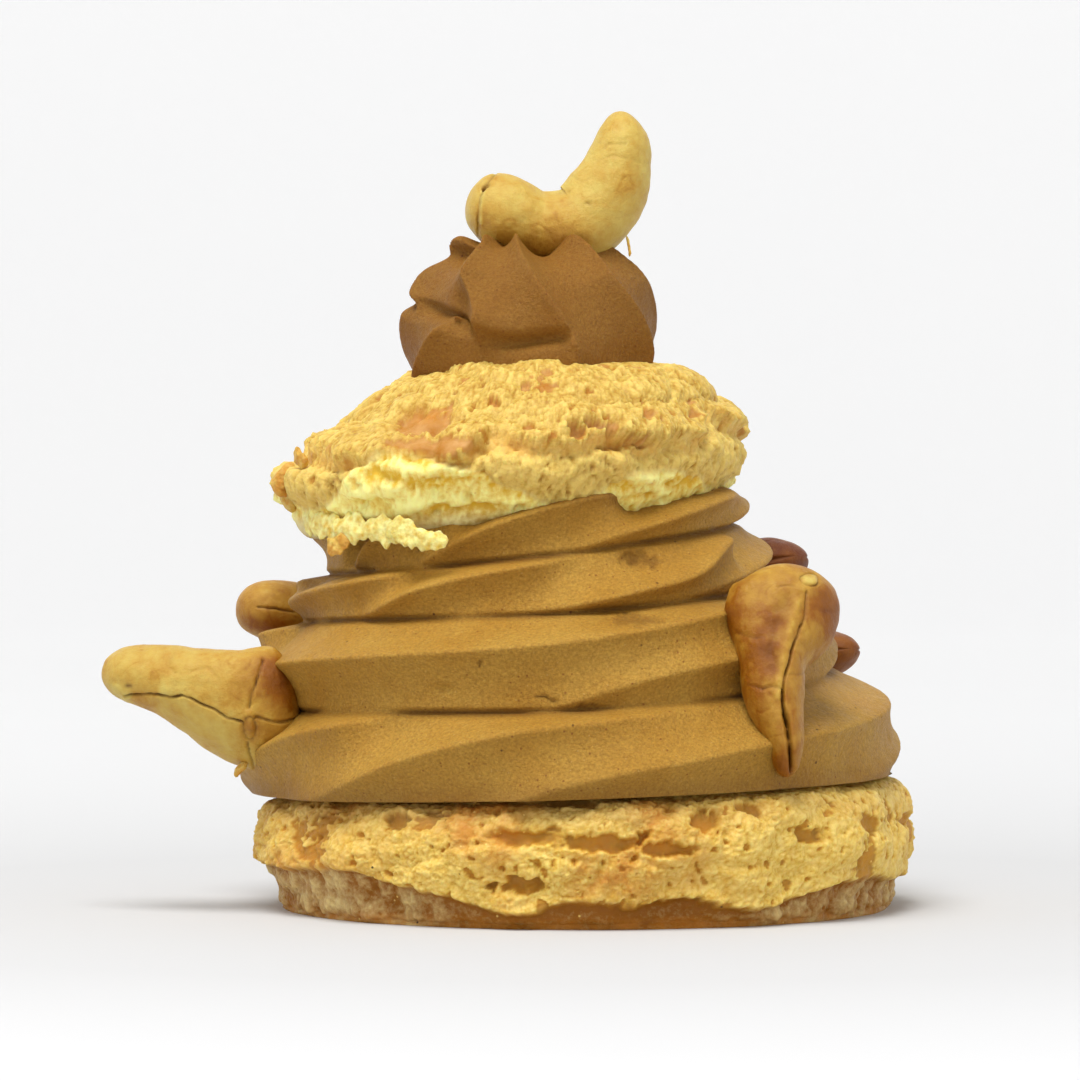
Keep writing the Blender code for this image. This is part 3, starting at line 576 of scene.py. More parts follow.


# Colours of the gaps, the grains and the highest grains (partly the crust's own tone, partly painted
# shade in the gaps and painted highlight on the highest grains), the bare hollows, the browned parts
# (toast, partly painted shade), the dark and light of the foot or the crumb (the crumb's light one
# partly painted highlight, the base foot's dark one partly painted warm reflection from below), and the
# painted shade near the cream.
CRUSTS = {
    "base": (
        (196, 138, 40), (220, 180, 76), (240, 210, 118), (176, 132, 52), (192, 122, 36),
        (148, 90, 2), (210, 184, 122), (178, 140, 80),
    ),
    "lid": (
        (174, 114, 32), (188, 148, 58), (224, 193, 102), (200, 150, 84), (202, 134, 46),
        (224, 180, 50), (255, 245, 154), (206, 190, 150),
    ),
}


def crust_material(kind):
    """Crumbly sugar crust. The mesh marks where its layer stands (raised), how light each grain is
    (light: partly its own tone, partly painted shade in the pits and pockets and painted highlight on
    the highest grains and the crumb's layers), where the foot or torn crumb shows (pale), where it is
    browner (brown: toasted patches, and painted shade under the lid's lip and on the base's left), and
    where painted shade falls near the cream."""
    n = Nodes("choux_crust_" + kind)
    gap, grain, top, bare, toast_and_painted_shade, pale_low, pale_high, grey = (srgb(*c) for c in CRUSTS[kind])
    # The lightness mixes the gap, grain and top colours: partly the crust's own tone, partly painted
    # shade in the gaps and pits and painted highlight on the highest grains.
    light = n.math("ADD", n.mark("light"), n.cloud(0.5, 3.0, 0.65, -0.2, 0.2))
    colour = n.mix(n.range(light, 0.0, 0.45), gap, grain)
    colour = n.mix(n.range(light, 0.4, 1.0), colour, top)
    hollow = n.mix(n.cloud(2.4, 3.0), bare, gap)
    colour = n.mix(n.mark("raised"), hollow, colour)
    # Painted shade near the cream: a darker grey over the crust.
    dark_grey = (grey[0] * 0.5, grey[1] * 0.46, grey[2] * 0.4, 1)
    painted_shade_grey = n.mix(n.range(light, 0.0, 0.8), dark_grey, grey)
    pale = n.mix(n.range(light, 0.1, 0.9), pale_low, pale_high)
    colour = n.mix(n.mark("pale"), colour, pale)
    colour = n.tint(colour, n.mark("painted_shade"), 0.6, painted_shade_grey)
    # Browner patches: toasted patches, and painted shade just under the lid's lip, on the upper part of
    # a bare patch and on the base's left.
    patch = n.math("MULTIPLY", n.mark("brown"), n.range(n.noise(2.6, 4.0, 0.6), 0.30, 0.62))
    colour = n.tint(colour, patch, 0.8, toast_and_painted_shade)
    # Pale sugar specks, partly painted glints.
    colour = n.specks(colour, 1.5, 0.35, 0.17, 0.7, top)
    colour = n.specks(colour, 5.0, 0.16, 0.20, 0.9, srgb(36, 26, 18))
    roughness = n.cloud(0.6, to_low=0.42, to_high=0.72)
    normal = n.bump(n.noise(0.26, 3.0, 0.7), 0.10)
    crystals = n.math("MULTIPLY", n.dots(0.5)["Distance"], n.mark("raised"))
    normal = n.bump(crystals, 0.13, 0.8, normal)
    return n.finish(colour, roughness, normal, 0.32, (2.2, 1.3, 0.5), 0.28)


def nut_material():
    """Roasted cashew. The mesh marks how toasted it is and where its grooves run."""
    n = Nodes("roasted_cashew")
    toast = n.math("ADD", n.mark("toast"), n.cloud(3, 4.0, 0.65, -0.14, 0.14))
    colour = n.mix(n.range(toast, 0.0, 0.32), srgb(204, 178, 88), srgb(188, 144, 51))
    colour = n.mix(n.range(toast, 0.28, 0.62), colour, srgb(144, 85, 2))
    colour = n.mix(n.range(toast, 0.6, 1.0), colour, srgb(102, 47, 8))
    streak = n.range(n.noise(1.1, 4.0, 0.7), 0.5, 0.75)
    colour = n.tint(colour, streak, 0.25, srgb(158, 102, 30))
    colour = n.tint(colour, n.mark("groove"), 0.9, srgb(84, 42, 16))
    roughness = n.cloud(2, to_low=0.34, to_high=0.52)
    normal = n.bump(n.noise(0.7, 5.0, 0.75), 0.22, 0.9)
    return n.finish(colour, roughness, normal, 0.15, (1.8, 1.1, 0.5), 0.30)


# --- choux base ---


def base_top(x):
    """Height of the base's sloping top at this x."""
    return BASE_HEIGHT + BASE_TOP_SLOPE * x


def billow(point, size, seed):
    """Rounded bumps of this size with sharp creases between them, from 0 to about 0.8."""
    return abs(wave(point, size, seed))


def crumble(point, bias, rough, seed):
    """The sugar crust: whether its layer stands here (0 to 1), how high in millimetres, and how light
    its colour is, lighter on the raised grains as painted highlight and darker in the pits as painted
    shade. bias adds to the cover, and rough scales the grains."""
    layer = bias + wave(point, 7 * MM, seed)
    layer += waves(point, (0.5, 3, seed + 3), (0.32, 1.4, seed + 5), (0.24, 0.7, seed + 7))
    raised = step(layer, -0.03, 0.04)
    thick = step(layer, 0.0, 0.9)
    bent = Vector(point) + 0.45 * MM * noise.noise_vector(Vector(point) / (1.3 * MM))
    lump, grain, fine = (billow(bent, size * MM, seed + size) for size in GRAIN_SIZES)
    busy = 0.55 + 0.6 * step(wave(point, 5 * MM, seed + 9), -0.3, 0.4)
    pit = step(wave(point, 1.1 * MM, seed + 4), 0.42, 0.60)
    grains = busy * (0.30 * lump + 0.34 * grain + 0.34 * fine) - PIT_DEPTH * pit
    on_layer = LAYER_LEAST + LAYER_MORE * thick + rough * grains
    off_layer = rough * (0.2 * grain + 0.3 * fine)
    # Lighter on the raised grains and darker in the pits: partly the crust's own tone, partly painted
    # highlight and painted shade.
    light = 0.24 + 0.4 * lump + 0.7 * grain + 0.75 * fine - 0.85 * pit
    light = raised * light + (1 - raised) * (0.6 * grain + 0.6 * fine)
    return raised, raised * on_layer + (1 - raised) * off_layer, clamp(light)


def spots_near(turned, radius, spots):
    """The spots that reach this angle: how far off they are across (mm), then their half width,
    height, half height and depth."""
    found = []
    for at, level, wide, tall, deep in spots:
        across = ((turned - at + 180) % 360 - 180) * math.pi / 180 * radius / MM
        if abs(across) < 2.4 * wide + 0.6:
            found.append((across, wide, level, tall, deep))
    return found


def hollow_at(point, spots):
    """How deep the nearby hollows are at this point, and from 0 to 1 how far into one it is."""
    if not spots:
        return 0.0, 0.0
    depth = share = 0.0
    aside = waves(point, (0.9, 2.0, 61.0), (0.7, 0.8, 62.0))
    higher = waves(point, (0.6, 1.8, 63.0), (0.5, 0.7, 64.0))
    for across, wide, level, tall, deep in spots:
        off = ((across + aside) / wide) ** 2 + ((point[2] / MM + higher - level) / tall) ** 2
        if off < 5:
            inside = math.exp(-(off**2))
            if inside > share:
                depth, share = deep * inside, inside
    return 0.5 * depth * MM, share


def base_relief(point, turned, edge, spots):
    """How far the side stands out here as a whole, how far its fine relief stands out besides,
    and its CRUST_MARKS."""
    x, y, z = point
    edge = (edge + waves(point, (0.5, 2.4, 6.0), (0.3, 1.1, 5.0))) * MM
    foot = 1 - step(z, edge - 0.5 * MM, edge + 0.25 * MM)
    lumps = waves(point, (0.9, 11, 1.0), (0.6, 5, 2.0)) * MM
    on_crust = step(z, edge, edge + 2 * MM)
    plates = 0.5 * MM * on_crust * cracks((x, y, z * 1.5), 8.5 * MM, 4.0)
    deep, strip = hollow_at(point, spots)
    smoother = step(abs(turned - 62), 42, 18)
    raised, height, light = crumble(point, 0.50 - 1.5 * strip, 1 - 0.45 * smoother, 11.0)
    keep = (1 - foot) * (1 - strip)
    tufts = waves((x, y, z * 0.8), (1.0, 2.8, 9.0), (0.7, 1.2, 8.0)) + waves(point, (0.4, 0.6, 10.0))
    shaggy = 0.25 + 0.75 * step(abs(turned), 18, 34)
    fine = (keep * height - 0.6 * (1 - foot) + 0.55 * foot * shaggy * tufts) * MM - deep
    brown = step(wave(point, 9 * MM, 14.0) + 0.2, 0.0, 0.7) * (0.3 + 0.7 * step(turned, 28, 8))
    # Browner on the left, as painted shade where the lamp lights the base more.
    brown = max(brown, 0.5 * step(turned, -22, -50))
    # The foot is browner along its bottom edge, partly as painted warm reflection from below.
    brown = brown * (1 - foot) + foot * (1 - step(z, 0.3 * MM, 1.6 * MM))
    shaded = 0.4 * step(z, edge - 1.2 * MM, edge)
    light = light * keep + foot * (0.02 + 0.46 * shaggy + 0.45 * shaggy * tufts - shaded)
    # Painted shade on the base's top band under the cream's overhang, stronger on the left.
    painted_shade = (1 - foot) * step(z, 10.5 * MM, 14 * MM) * (0.35 + 0.65 * step(turned, 30, -10))
    lumps -= BASE_FOOT_TUCK * foot + plates
    return lumps, fine, (raised * keep, clamp(light), foot, brown, painted_shade)


def outward_along(profile):
    """The way out of a profile of radii and heights at each of its points."""
    along = np.gradient(profile, axis=0)
    outward = np.stack([along[:, 1], -along[:, 0]], 1)
    return outward / np.linalg.norm(outward, axis=1)[:, None]


def crust_piece(name, rings, marks, material, node):
    """A piece of choux, with its CRUST_MARKS at each point."""
    marks = np.array(marks, float)
    named = {mark: marks[..., i] for i, mark in enumerate(CRUST_MARKS)}
    return ring_piece(name, np.array(rings), material, node, named)


def base_piece(material, columns=820, side_rows=114):
    """The base: rings across its underside, up its side and across its top."""
    side = evenly_along(BASE_OUTLINE, side_rows) * (BASE_RADIUS, BASE_HEIGHT)
    outward = outward_along(side)
    angles = front_angles(columns, 0.25)
    flat = list(zip(np.cos(angles).tolist(), np.sin(angles).tolist()))
    turned = [from_front(a) for a in angles]
    spots = [spots_near(t, BASE_RADIUS, BASE_BARE) for t in turned]
    lips = value_at(BASE_LIP_LINE, turned)
    rings, marks = [], []
    for share in (0.35, 0.75, 0.95):
        reach = side[0, 0] * share
        rings.append([(reach * x, reach * y, 0) for x, y in flat])
        marks.append([UNDERSIDE_MARKS] * columns)
    for row, (radius, height) in enumerate(side):
        ring, ring_marks = [], []
        fade = min(0.35 + 0.13 * min(row, side_rows - 1 - row), 1.0)
        out, up = outward[row]
        for (x, y), turn, lip, near in zip(flat, turned, lips, spots):
            z = height * (1 + BASE_TOP_SLOPE * radius * x / BASE_HEIGHT)
            whole, fine, found = base_relief((radius * x, radius * y, z), turn, lip, near)
            reach = radius + fade * (whole + fine * out)
            rise = fade * fine * up * min(row / 8, 1)
            ring.append((reach * x, reach * y, z + rise))
            ring_marks.append(found)
        rings.append(ring)
        marks.append(ring_marks)
    for share in (0.96, 0.75, 0.35):
        reach = side[-1, 0] * share
        rings.append([(reach * x, reach * y, base_top(reach * x)) for x, y in flat])
        marks.append([TOP_MARKS] * columns)
    return crust_piece("choux_base_crust", rings, marks, material, "choux_base")


# --- cream ---


def axis_at(height):
    """How far to the side the tower's axis is at this height."""
    return value_at(TOWER_AXIS, height / MM) * MM


def ridge_places(turn):
    """Where the ridges cross the rope at this turn, from -1 at its lower crease to 1."""
    places = [
        float(value_at(list(zip(ridge, (-1, -0.5, 0, 0.5, 1))), turn))
        for ridge in RIDGES
        if ridge[0] < turn < ridge[-1]
    ]
    return sorted(np.clip(places, -0.999, 0.999))


def rope_side(turn, places):
    """Radius of the rope's outer side at this turn, at places from -1 to 1 across it."""
    reach, above = value_at(LAP_REACH, [turn, turn + 1]) * MM
    knots, radii = [-1.0], [reach - CREASE_DEPTH]
    for v in ridge_places(turn):
        crease = (above if v > 0 else reach) - CREASE_DEPTH
        fade = smooth_step(abs(v), RIDGE_FADE, 1)
        knots.append(v)
        radii.append((reach - ROPE_BELLY * v * v) * (1 - fade) + crease * fade)
    knots, radii = [*knots, 1.0], [*radii, above - CREASE_DEPTH]
    chord = np.interp(places, knots, radii)
    i = np.clip(np.searchsorted(knots, places) - 1, 0, len(knots) - 2)
    width = np.diff(knots)[i]
    share = (places - np.array(knots)[i]) / width
    return chord - FACET_SAG * np.clip(width / 0.8, 0, 1.3) * 4 * share * (1 - share)


def tower_radius(angle, heights):
    """Radius of the tower at one angle, at each height."""
    radius = np.zeros(len(heights))
    for lap in range(-1, 5):
        turn = (angle - FRONT) / (2 * math.pi) + lap
        low, high = value_at(LAP_TOP, [turn - 1, turn]) * MM
        place = (heights - low) / (high - low) * 2 - 1
        inside = np.abs(place) <= 1
        radius[inside] = rope_side(turn, place[inside])
    return radius


def tower_surface(angles, heights):
    """Radius at each height and angle, with its ridges rounded and its dents pressed in."""
    columns = []
    for angle in angles:
        taps = [tower_radius(angle, heights + 0.22 * MM * k) for k in (-2, -1, 0, 1, 2)]
        columns.append(np.average(taps, axis=0, weights=SOFTENING))
    radius = np.array(columns).T
    for turn, height, wide, tall, depth in TOWER_DENTS:
        off = (angles - FRONT - 2 * math.pi * turn + math.pi) % (2 * math.pi) - math.pi
        across, up = off * radius / MM / wide, (heights[:, None] / MM - height) / tall
        radius -= depth * MM * np.exp(-(across**2) - up**2)
    close = np.clip((heights[:, None] - TOWER_TOP) / TOWER_TOP_ROUND + 1, 0, 0.96)
    return radius * np.sqrt(1 - close**2)


def tower_creases(angles, heights):
    """1 along the lines where the laps of the rope touch, to 0 a little way off: where the seams are
    drawn in and painted as shade.
    """
    turns = (angles - FRONT) / (2 * math.pi)
    lines = [value_at(LAP_TOP, turns + lap) for lap in range(-1, 4)]
    near = [np.exp(-(((heights[:, None] / MM - line) / 0.36) ** 2)) for line in lines]
    return np.max(near, axis=0)


def painted_shade_beside_lid(x, y, z):
    """1 where the cream meets the lid's outline, to 0 a little way off: where shade is painted on the
    cream.
    """
    x = x - LID_AXIS
    side = (1 + x / np.hypot(x, y)) / 2
    left, right = (
        np.interp(z / MM, [height for _, height in line], [radius for radius, _ in line])
        for line in (LID_LEFT[4:9], LID_RIGHT[1:9])
    )
    off = np.hypot(x, y) / MM - left * (1 - side) - right * side
    return np.exp(-(((off - 0.4) / 0.9) ** 2))


def tower_piece(material, columns=620, rows=148):
    """The tower: rings from just inside the base's crust to its top under the lid."""
    angles = front_angles(columns, 0.28)
    heights = np.linspace(TOWER_FLOOR, TOWER_TOP, rows)
    radius = tower_surface(angles, heights)
    crease = tower_creases(angles, heights)
    gouges = [spots_near(from_front(a), TOWER_REACH, TOWER_GOUGES) for a in angles]
    for row, height in enumerate(heights):
        for column, a in enumerate(angles):
            reach, dark = radius[row, column], crease[row, column]
            point = (reach * math.cos(a), reach * math.sin(a), height)
            # The crease mark pulls the seams in and paints shade along them, unevenly.
            dark *= 0.25 + 0.75 * step(wave(point, 9 * MM, 35.0), -0.5, 0.05)
            reach += (waves(point, (0.22, 6, 31.0), (0.05, 1.4, 33.0)) - LAP_CREASE * dark) * MM
            # The gouges are painted darker inside, as painted shade.
            deep, inside = hollow_at(point, gouges[column])
            radius[row, column], crease[row, column] = reach - deep, max(dark, 0.6 * inside)
    z = np.broadcast_to(heights[:, None], radius.shape)
    above = z > base_top(radius * np.cos(angles) + axis_at(z)) + GAP
    at_floor = np.take_along_axis(radius, above.argmax(axis=0)[None], axis=0)
    radius = np.where(above, radius, np.minimum(radius, at_floor))
    rings = np.stack([radius * np.cos(angles) + axis_at(z), radius * np.sin(angles), z], 2)
    floor = base_top(rings[..., 0]) + GAP
    # Painted shade along the cream's foot on the base and where it meets the lid.
    crease = np.maximum(crease, 0.5 * np.exp(-(((rings[..., 2] - floor) / (2.2 * MM)) ** 2)))
    crease = np.maximum(crease, 0.65 * painted_shade_beside_lid(*np.moveaxis(rings, 2, 0)))
    rings[..., 2] = np.maximum(rings[..., 2], floor)
    return ring_piece("cream_tower_piped", rings, material, "cream_tower", {"crease": crease})


def ridged_ring(round_front, ridge, hollow, at):
    """A ring at these angles that meets the ridge outline at each angle in `at`, with a hollow
    between each two, deeper where they stand further apart."""
    at = np.sort(np.array(at) % 360)
    at = np.concatenate([at[-2:] - 360, at, at[:2] + 360])
    turned = round_front % 360
    i = np.clip(np.searchsorted(at, turned) - 1, 0, len(at) - 2)
    width = at[i + 1] - at[i]
    share = (turned - at[i]) / width
    into = (4 * share * (1 - share)) ** 0.85 * np.clip(width / 45, 0.4, 1.25)
    return ridge * (1 - into[:, None]) + hollow * into[:, None]


def rosette_surface(angles, rows):
    """Points of the rosette, row by row from its foot to its top."""
    ridge, hollow = evenly_along(ROSETTE_RIDGE, rows), evenly_along(ROSETTE_HOLLOW, rows)
    round_front = np.degrees((angles - FRONT + math.pi) % (2 * math.pi) - math.pi)
    line = value_at(ROSETTE_CREASE, np.clip(round_front, -200, 16))
    shown = smooth_step(round_front, -178, -150) * (1 - smooth_step(round_front, 14, 20))
    rings = []
    for row in range(rows):
        climb = row / (rows - 1)
        high = [np.interp(climb, ROSETTE_CLIMBS, ridge_angles) for ridge_angles in ROSETTE_RIDGES]
        low = [np.interp(climb, ROSETTE_LOW_CLIMBS, ridge_angles) for ridge_angles in ROSETTE_LOW_RIDGES]
        ring = ridged_ring(round_front, ridge[row], hollow[row], high)
        under = ridged_ring(round_front, ridge[row], hollow[row], low)
        below = (shown * smooth_step(line - ring[:, 1], -0.2, 0.4))[:, None]
        ring = ring * (1 - below) + under * below
        height = ring[:, 1]
        ring[:, 0] -= ROSETTE_CREASE_DEPTH * shown * np.exp(-(((height - line) / 0.8) ** 2))
        for angle, level, wide, tall, deep in ROSETTE_DENTS:
            across, up = (round_front - angle) / wide, (height - level) / tall
            ring[:, 0] -= deep * np.exp(-(across**2) - up**2)
        rings.append(ring * MM)
    return np.array(rings)


def rosette_piece(material, columns=380, rows=120):
    """The rosette, its ridges softened by averaging it over small turns."""
    angles = FRONT + even_angles(columns)
    turns = [math.radians(0.6 * k) for k in (-2, -1, 0, 1, 2)]
    taps = [rosette_surface(angles + turn, rows) for turn in turns]
    side = np.average(taps, axis=0, weights=SOFTENING)[:-1]
    for row in side:
        for place, a in zip(row, angles):
            point = (place[0] * math.cos(a), place[0] * math.sin(a), place[1])
            place[0] += waves(point, (0.15, 5, 37.0), (0.05, 1.2, 39.0)) * MM
    x = side[..., 0] * np.cos(angles) + ROSETTE_AXIS
    y = side[..., 0] * np.sin(angles)
    rings = np.stack([x, y, side[..., 1]], 2)
    return ring_piece("cream_rosette_piped", rings, material, "cream_rosette")


# --- choux lid ---

def lid_relief(point, lip_line, crumb_line, bare, pockets):
    """How far the lid stands out here, and its CRUST_MARKS."""
    x, y, z = point
    shown = step(z, 45.8 * MM, 48 * MM)
    under_rosette = step(z, 64.6 * MM, 66 * MM)
    lumps = waves(point, (0.8, 10, 7.0), (0.5, 4.5, 8.0)) * MM
    ragged = waves(point, (0.8, 2.6, 15.0), (0.5, 1.1, 16.0)) * MM
    lip = lip_line * MM + ragged
    above = step(z, lip, lip + 0.5 * MM)
    edge = crumb_line * MM + 0.6 * ragged
    crumb = 1 - step(z, edge - 0.3 * MM, edge + 0.5 * MM)
    deep, strip = hollow_at(point, bare)
    raised, height, light = crumble(point, 0.60 - 1.8 * strip, 1.0 - 0.4 * (1 - above), 41.0)
    plates = 0.6 * cracks((x, y, z * 1.4), 7.0 * MM, 42.0)
    under_lip = math.exp(-(((z - lip) / MM + 1.0) ** 2))
    keep = (1 - 0.8 * strip) * (1 - crumb)
    skin = (1 - above) * (1 - crumb)
    fibre = wave((x + 0.5 * z, y, z * 0.45 - 0.3 * x), 0.75 * MM, 43.0)
    fibre += 0.5 * wave(point, 2.2 * MM, 44.0)
    bark = (1.3 - plates) * above + (0.4 * fibre - 0.8 * under_lip) * skin
    crust = (keep * height + bark - 0.9) * MM
    layers = 0.9 * wave((x, y, z * 2.8), 4.5 * MM, 45.0)
    layers += 0.5 * wave((x, y, z * 2.0), 1.6 * MM, 46.0)
    strands = wave((x * 1.6, y * 1.6, z * 0.7), 0.8 * MM, 49.0)
    hollow, pocket = hollow_at(point, pockets)
    near, _ = cells((x, y, z * 1.6), 3.0 * MM, 47.0)
    airy = (layers + 0.16 * strands - 0.8 * step(0.30 - near, 0.0, 0.2)) * MM - hollow
    out = shown * (1 - 0.7 * under_rosette) * (lumps + crust * (1 - crumb) + crumb * airy - deep)
    # Painted shadow: browner just under the lip, and on the upper part of the bare patch under its rim.
    under_lip_shadow = step(z, lip - 1.8 * MM, lip - 0.4 * MM)
    brown = skin * (0.60 * under_lip_shadow + 0.1 * step(wave(point, 5 * MM, 48.0), 0, 0.4))
    brown = max(brown, strip * (1 - crumb) * step(z, 58.2 * MM, 59.4 * MM))
    light = (light + skin * (0.35 + 0.5 * fibre)) * keep
    # The crumb is lighter on its layers, partly as painted highlight, and darker in its pockets as
    # painted shade.
    light += crumb * (0.62 + 0.7 * layers + 0.5 * strands - 0.6 * pocket)
    # Painted shade on the crumb's lowest band, where it meets the cream.
    painted_shade = crumb * (1 - step(z, 46.2 * MM, 48.2 * MM))
    raised = max(raised * keep, 0.7 * skin)
    return out, (raised, clamp(light), crumb, brown, painted_shade)


def lid_piece(material, columns=660, rows=150):
    """The lid: its outline runs between the left and right ones round its own axis."""
    left, right = evenly_along(LID_LEFT, rows), evenly_along(LID_RIGHT, rows)
    rings, marks = [], []
    for a in front_angles(columns, 0.25):
        turned = from_front(a)
        here = (
            float(value_at(LID_LIP_LINE, turned)), float(value_at(LID_CRUMB_LINE, turned)),
            spots_near(turned, 22 * MM, LID_BARE), spots_near(turned, 27 * MM, LID_POCKETS),
        )
        side = (1 + math.cos(a)) / 2
        profile = (left * (1 - side) + right * side) * MM
        outward = outward_along(profile)
        x, y = math.cos(a), math.sin(a)
        column, column_marks = [], []
        for (radius, height), (out, up) in zip(profile[1:-1], outward[1:-1]):
            move, found = lid_relief((radius * x, radius * y, height), *here)
            reach = radius + move * out
            column.append((LID_AXIS + reach * x, reach * y, height + move * up))
            column_marks.append(found)
        rings.append(column)
        marks.append(column_marks)
    rings, marks = (np.array(table).swapaxes(0, 1) for table in (rings, marks))
    return crust_piece("choux_lid_torn", rings, marks, material, "choux_lid")


def shred(root, tip, wide, thick, bow, seed, columns=60, rows=48):
    """Rings round one ragged shred from its root to its tip."""
    root, tip = Vector(root), Vector(tip)
    along = (tip - root).normalized()
    outward = Vector((root.x - LID_AXIS / MM, root.y, 0)).normalized()
    across = along.cross(outward).normalized()
    through = across.cross(along)
    rings = []
    for row in range(rows):
        u = (row + 0.5) / rows
        middle = root + (tip - root) * u + outward * bow * 4 * u * (1 - u)
        swell = (1 - (2 * u - 1) ** 4) ** 0.5
        ring = []
        for k in range(columns):
            a = 2 * math.pi * k / columns
            far, aside = u * (tip - root).length, math.cos(a)
            torn = 1 + 0.5 * noise.noise(Vector((0.5 * far, 1.2 * aside, seed)))
            torn += 0.4 * noise.noise(Vector((1.3 * far, 2.0 * aside, seed + 5)))
            place = middle + across * wide * swell * torn * aside
            place += through * thick * swell * math.sin(a)
            shift = noise.noise_vector(place / 1.6 + Vector((seed, 0, 0)))
            place += 0.24 * shift + 0.08 * noise.noise_vector(place / 0.5)
            ring.append(place * MM)
        rings.append(ring)
    return np.array(rings)


def shred_pieces(material):
    """The loose shreds, which stand for no node."""
    for i, (root, tip, wide, thick, pale, brown, bow) in enumerate(SHREDS):
        rings = shred(root, tip, wide, thick, bow, 3.7 * i)
        marks = []
        for ring in rings:
            light = [clamp(0.55 + 0.6 * wave(place, 0.7 * MM, 71.0)) for place in ring]
            # The pale shreds get a little painted shade.
            marks.append([(1, share, pale, brown, 0.25 * pale) for share in light])
        crust_piece(f"choux_shred_{i}", rings, marks, material, None)


# --- cashews ---


def line_distance(x, z, points):
    """How far each place (x, z) is from the line through the points."""
    nearest = np.full(x.shape, np.inf)
    for (x0, z0), (x1, z1) in zip(points, points[1:]):
        along = ((x - x0) * (x1 - x0) + (z - z0) * (z1 - z0)) / ((x1 - x0) ** 2 + (z1 - z0) ** 2)
        t = np.clip(along, 0, 1)
        nearest = np.minimum(nearest, np.hypot(x - x0 - t * (x1 - x0), z - z0 - t * (z1 - z0)))
    return nearest


def kernel_surface(name, columns, rows):
    """Points of a plain kernel row by row, the way out at each, and its seam from 0 to 1."""
    across, knots = CASHEWS[name]
    places = (1 - np.cos(np.linspace(0.05, math.pi - 0.05, rows))) / 2
    places = 0.5 * places + 0.5 * np.linspace(places[0], places[-1], rows)
    spine = along_line(knots, places)
    along = np.gradient(spine[:, :3], axis=0)
    along /= np.linalg.norm(along, axis=1)[:, None]
    wide = np.array(across) - along * (along @ np.array(across))[:, None]
    wide /= np.linalg.norm(wide, axis=1)[:, None]
    deep = np.cross(along, wide)
    middle = rows // 2
    forward = math.atan2(-deep[middle, 1], -wide[middle, 1])
    even = even_angles(columns)
    around = forward + even - 0.45 * np.sin(even)
    end = np.minimum(np.minimum(places, 1 - places) / 0.17, 1)
    cap = (1 - (1 - end) ** 2.4) ** (1 / 2.4)
    side, rise = np.cos(around)[None, :, None], np.sin(around)[None, :, None]
    wide_side, deep_side = wide[:, None] * side, deep[:, None] * rise
    out = wide_side + deep_side
    reach = (cap[:, None] * spine[:, 3:5])[:, None]
    points = spine[:, None, :3] + wide_side * reach[..., 1:] + deep_side * reach[..., :1]
    seam = np.exp(-((side[..., 0] / 0.12) ** 2)) * cap[:, None]
    return points, out, seam


def cashew_piece(name, material, columns=200, rows=170):
    """A cashew: the plain kernel, uneven and wrinkled, with its lines and toasted patches."""
    points, out, seam = kernel_surface(name, columns, rows)
    base, patches = TOAST[name]
    lines = NUT_LINES.get(name, ())
    behind = smooth_step(out[..., 1], 0.3, 0.6) if lines else 1.0
    move = -0.45 * seam * behind
    groove = 0.6 * seam * behind
    bent, toast, uneven = points.copy(), np.full(seam.shape, base), np.ones(seam.shape)
    for row in range(rows):
        for column in range(columns):
            place = points[row, column]
            bulge = 0.28 * wave(place, 6.0, 53.0)
            wrinkle = wave((place[0], place[1], place[2] * 1.8), 2.4, 51.0)
            fine = wave(place, 0.8, 52.0)
            fold = max(0.0, 1 - abs(wave(place, 3.2, 54.0)) / 0.07) * step(wrinkle, -0.1, 0.3)
            move[row, column] += bulge + 0.09 * wrinkle + 0.025 * fine - 0.045 * fold
            toast[row, column] += 0.10 * fold + 0.05 * fine
            bent[row, column, 0] += 0.10 * wave(place, 0.9, 55.0)
            bent[row, column, 2] += 0.10 * wave(place, 0.9, 56.0)
            uneven[row, column] = 0.75 + 0.6 * wave(place, 1.3, 57.0)
    facing = smooth_step(-out[..., 1], -0.25, 0.1)
    for half, depth, dark, line in lines:
        near = np.exp(-((line_distance(bent[..., 0], bent[..., 2], line) / half) ** 2)) * facing * uneven
        move -= depth * near
        groove = np.maximum(groove, dark * near) if dark > 0 else groove
        toast += min(dark, 0) * near
    for x, y, z, size, amount in patches:
        toast += amount * np.exp(-((points - (x, y, z)) ** 2).sum(axis=2) / size**2)
    rings = (points + out * move[..., None]) * MM
    marks = {"toast": toast, "groove": np.clip(groove, 0, 1)}
    return ring_piece(name + "_kernel", rings, material, name, marks)


# --- stage ---


PALE = 0.60  # how much light the floor and wall give back
WALL_GLOW = 0.44  # and how much the far wall adds, so that all of it looks evenly white
GLOW_FADE = 0.072  # the share of that glow still missing a metre from the object
FLOOR_RADIUS = 1.6  # metres, as are the places and sizes below
WALL_CURVE = 0.5
WALL_TOP = 2.0
KEY = 10.5  # watts
LAMP = (-0.14, -0.37, 0.95)
LAMP_SIZE = 0.6
MIDDLE = (0, 0, 0.045)
SKY = 0.37
EYE = (-5.5 * MM, -572 * MM, 44.6 * MM)


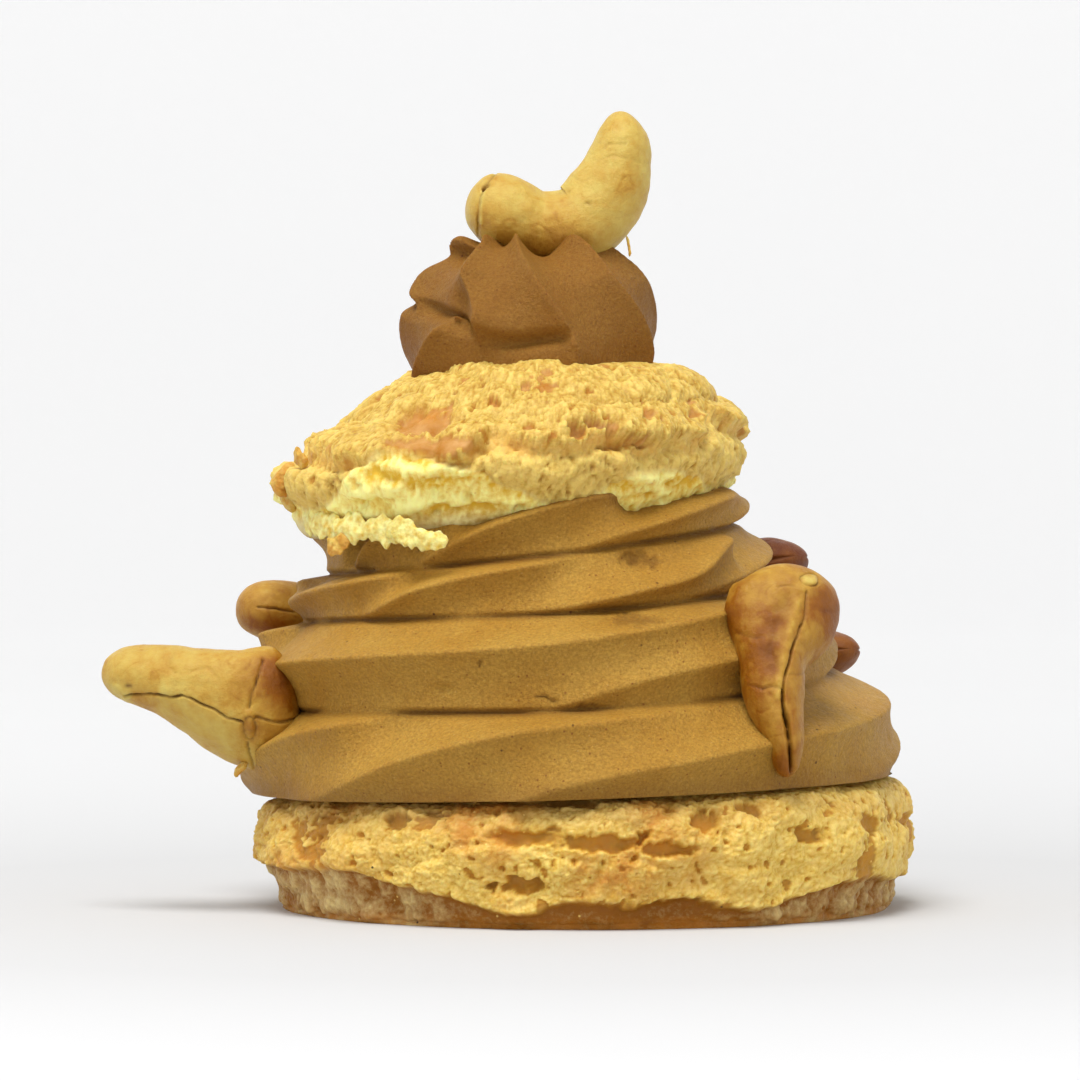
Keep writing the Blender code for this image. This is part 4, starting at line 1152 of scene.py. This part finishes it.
def backdrop_material():
    """Pale and matt, with a glow that grows with the distance from the object."""
    n = Nodes("pale_backdrop")
    colour = n.mix(n.cloud(600, 1.0), (PALE, PALE, PALE, 1), (PALE * 0.98, PALE * 0.98, PALE * 0.985, 1))
    n.tree.links.new(colour, n.shader.inputs["Base Color"])
    far = n.add("ShaderNodeVectorMath", {0: n.place}, operation="LENGTH").outputs["Value"]
    beyond = n.math("MAXIMUM", n.math("SUBTRACT", far, 0.1), 0.0)
    fade = n.math("POWER", GLOW_FADE, beyond)
    glow = n.math("MULTIPLY", n.math("SUBTRACT", 1.0, fade), WALL_GLOW)
    n.tree.links.new(glow, n.shader.inputs["Emission Strength"])
    n.shader.inputs["Emission Color"].default_value = (1, 1, 1, 1)
    n.shader.inputs["Roughness"].default_value = 0.9
    n.material.cycles.emission_sampling = "NONE"  # so even a glow needs no aimed samples
    return n.material


def studio():
    """A pale floor that curves up into a wall all round."""
    outline = [(FLOOR_RADIUS * k / 8, 0.0) for k in range(1, 9)]
    for k in range(1, 13):
        a = math.pi / 2 * k / 12
        outline.append((FLOOR_RADIUS + WALL_CURVE * math.sin(a), WALL_CURVE * (1 - math.cos(a))))
    outline.append((FLOOR_RADIUS + WALL_CURVE, WALL_TOP))
    columns = 96
    turns = even_angles(columns).tolist()
    points = [(r * math.cos(a), r * math.sin(a), z) for r, z in outline for a in turns]
    quads = [face[::-1] for face in strip_quads(len(outline), columns)]
    middle = [face[::-1] for face in fan(len(points), 0, columns)]
    smooth_mesh("backdrop", [*points, (0, 0, 0)], middle + quads, backdrop_material())


def lights():
    """One broad lamp above on the left and in front, and an even sky."""
    data = bpy.data.lights.new("overhead", "AREA")
    data.shape = "DISK"
    data.size = LAMP_SIZE
    data.energy = KEY
    lamp = place_in_scene("overhead", data)
    lamp.location = LAMP
    lamp.rotation_euler = (Vector(MIDDLE) - Vector(LAMP)).to_track_quat("-Z", "Y").to_euler()
    world = bpy.data.worlds.new("studio")
    world.use_nodes = True
    sky = world.node_tree.nodes["Background"]
    sky.inputs["Color"].default_value = (1, 1, 1, 1)
    sky.inputs["Strength"].default_value = SKY
    bpy.context.scene.world = world
    bpy.context.scene.view_settings.view_transform = "Standard"


def camera():
    """Level with the lid's lower edge, straight in front."""
    data = bpy.data.cameras.new("camera")
    data.lens = 156.0
    data.sensor_width = 36.0
    data.clip_start = 0.01
    eye = place_in_scene("camera", data)
    eye.location = EYE
    eye.rotation_euler = (math.radians(90), 0, 0)
    bpy.context.scene.camera = eye


def main():
    """The whole scene."""
    noise.seed_set(NOISE_SEED)
    studio()
    lights()
    camera()
    base_piece(crust_material("base"))
    tower_piece(cream_material("piped_nut_cream", 0.0))
    # The rosette's cream is a darker copy, as painted shade.
    rosette_piece(cream_material("piped_nut_cream_top_painted_shade", 0.57))
    lid_crust = crust_material("lid")
    lid_piece(lid_crust)
    shred_pieces(lid_crust)
    nut = nut_material()
    for name in CASHEWS:
        if name.startswith("cashew_rear"):
            cashew_piece(name, nut, columns=110, rows=90)
        else:
            cashew_piece(name, nut)


main()
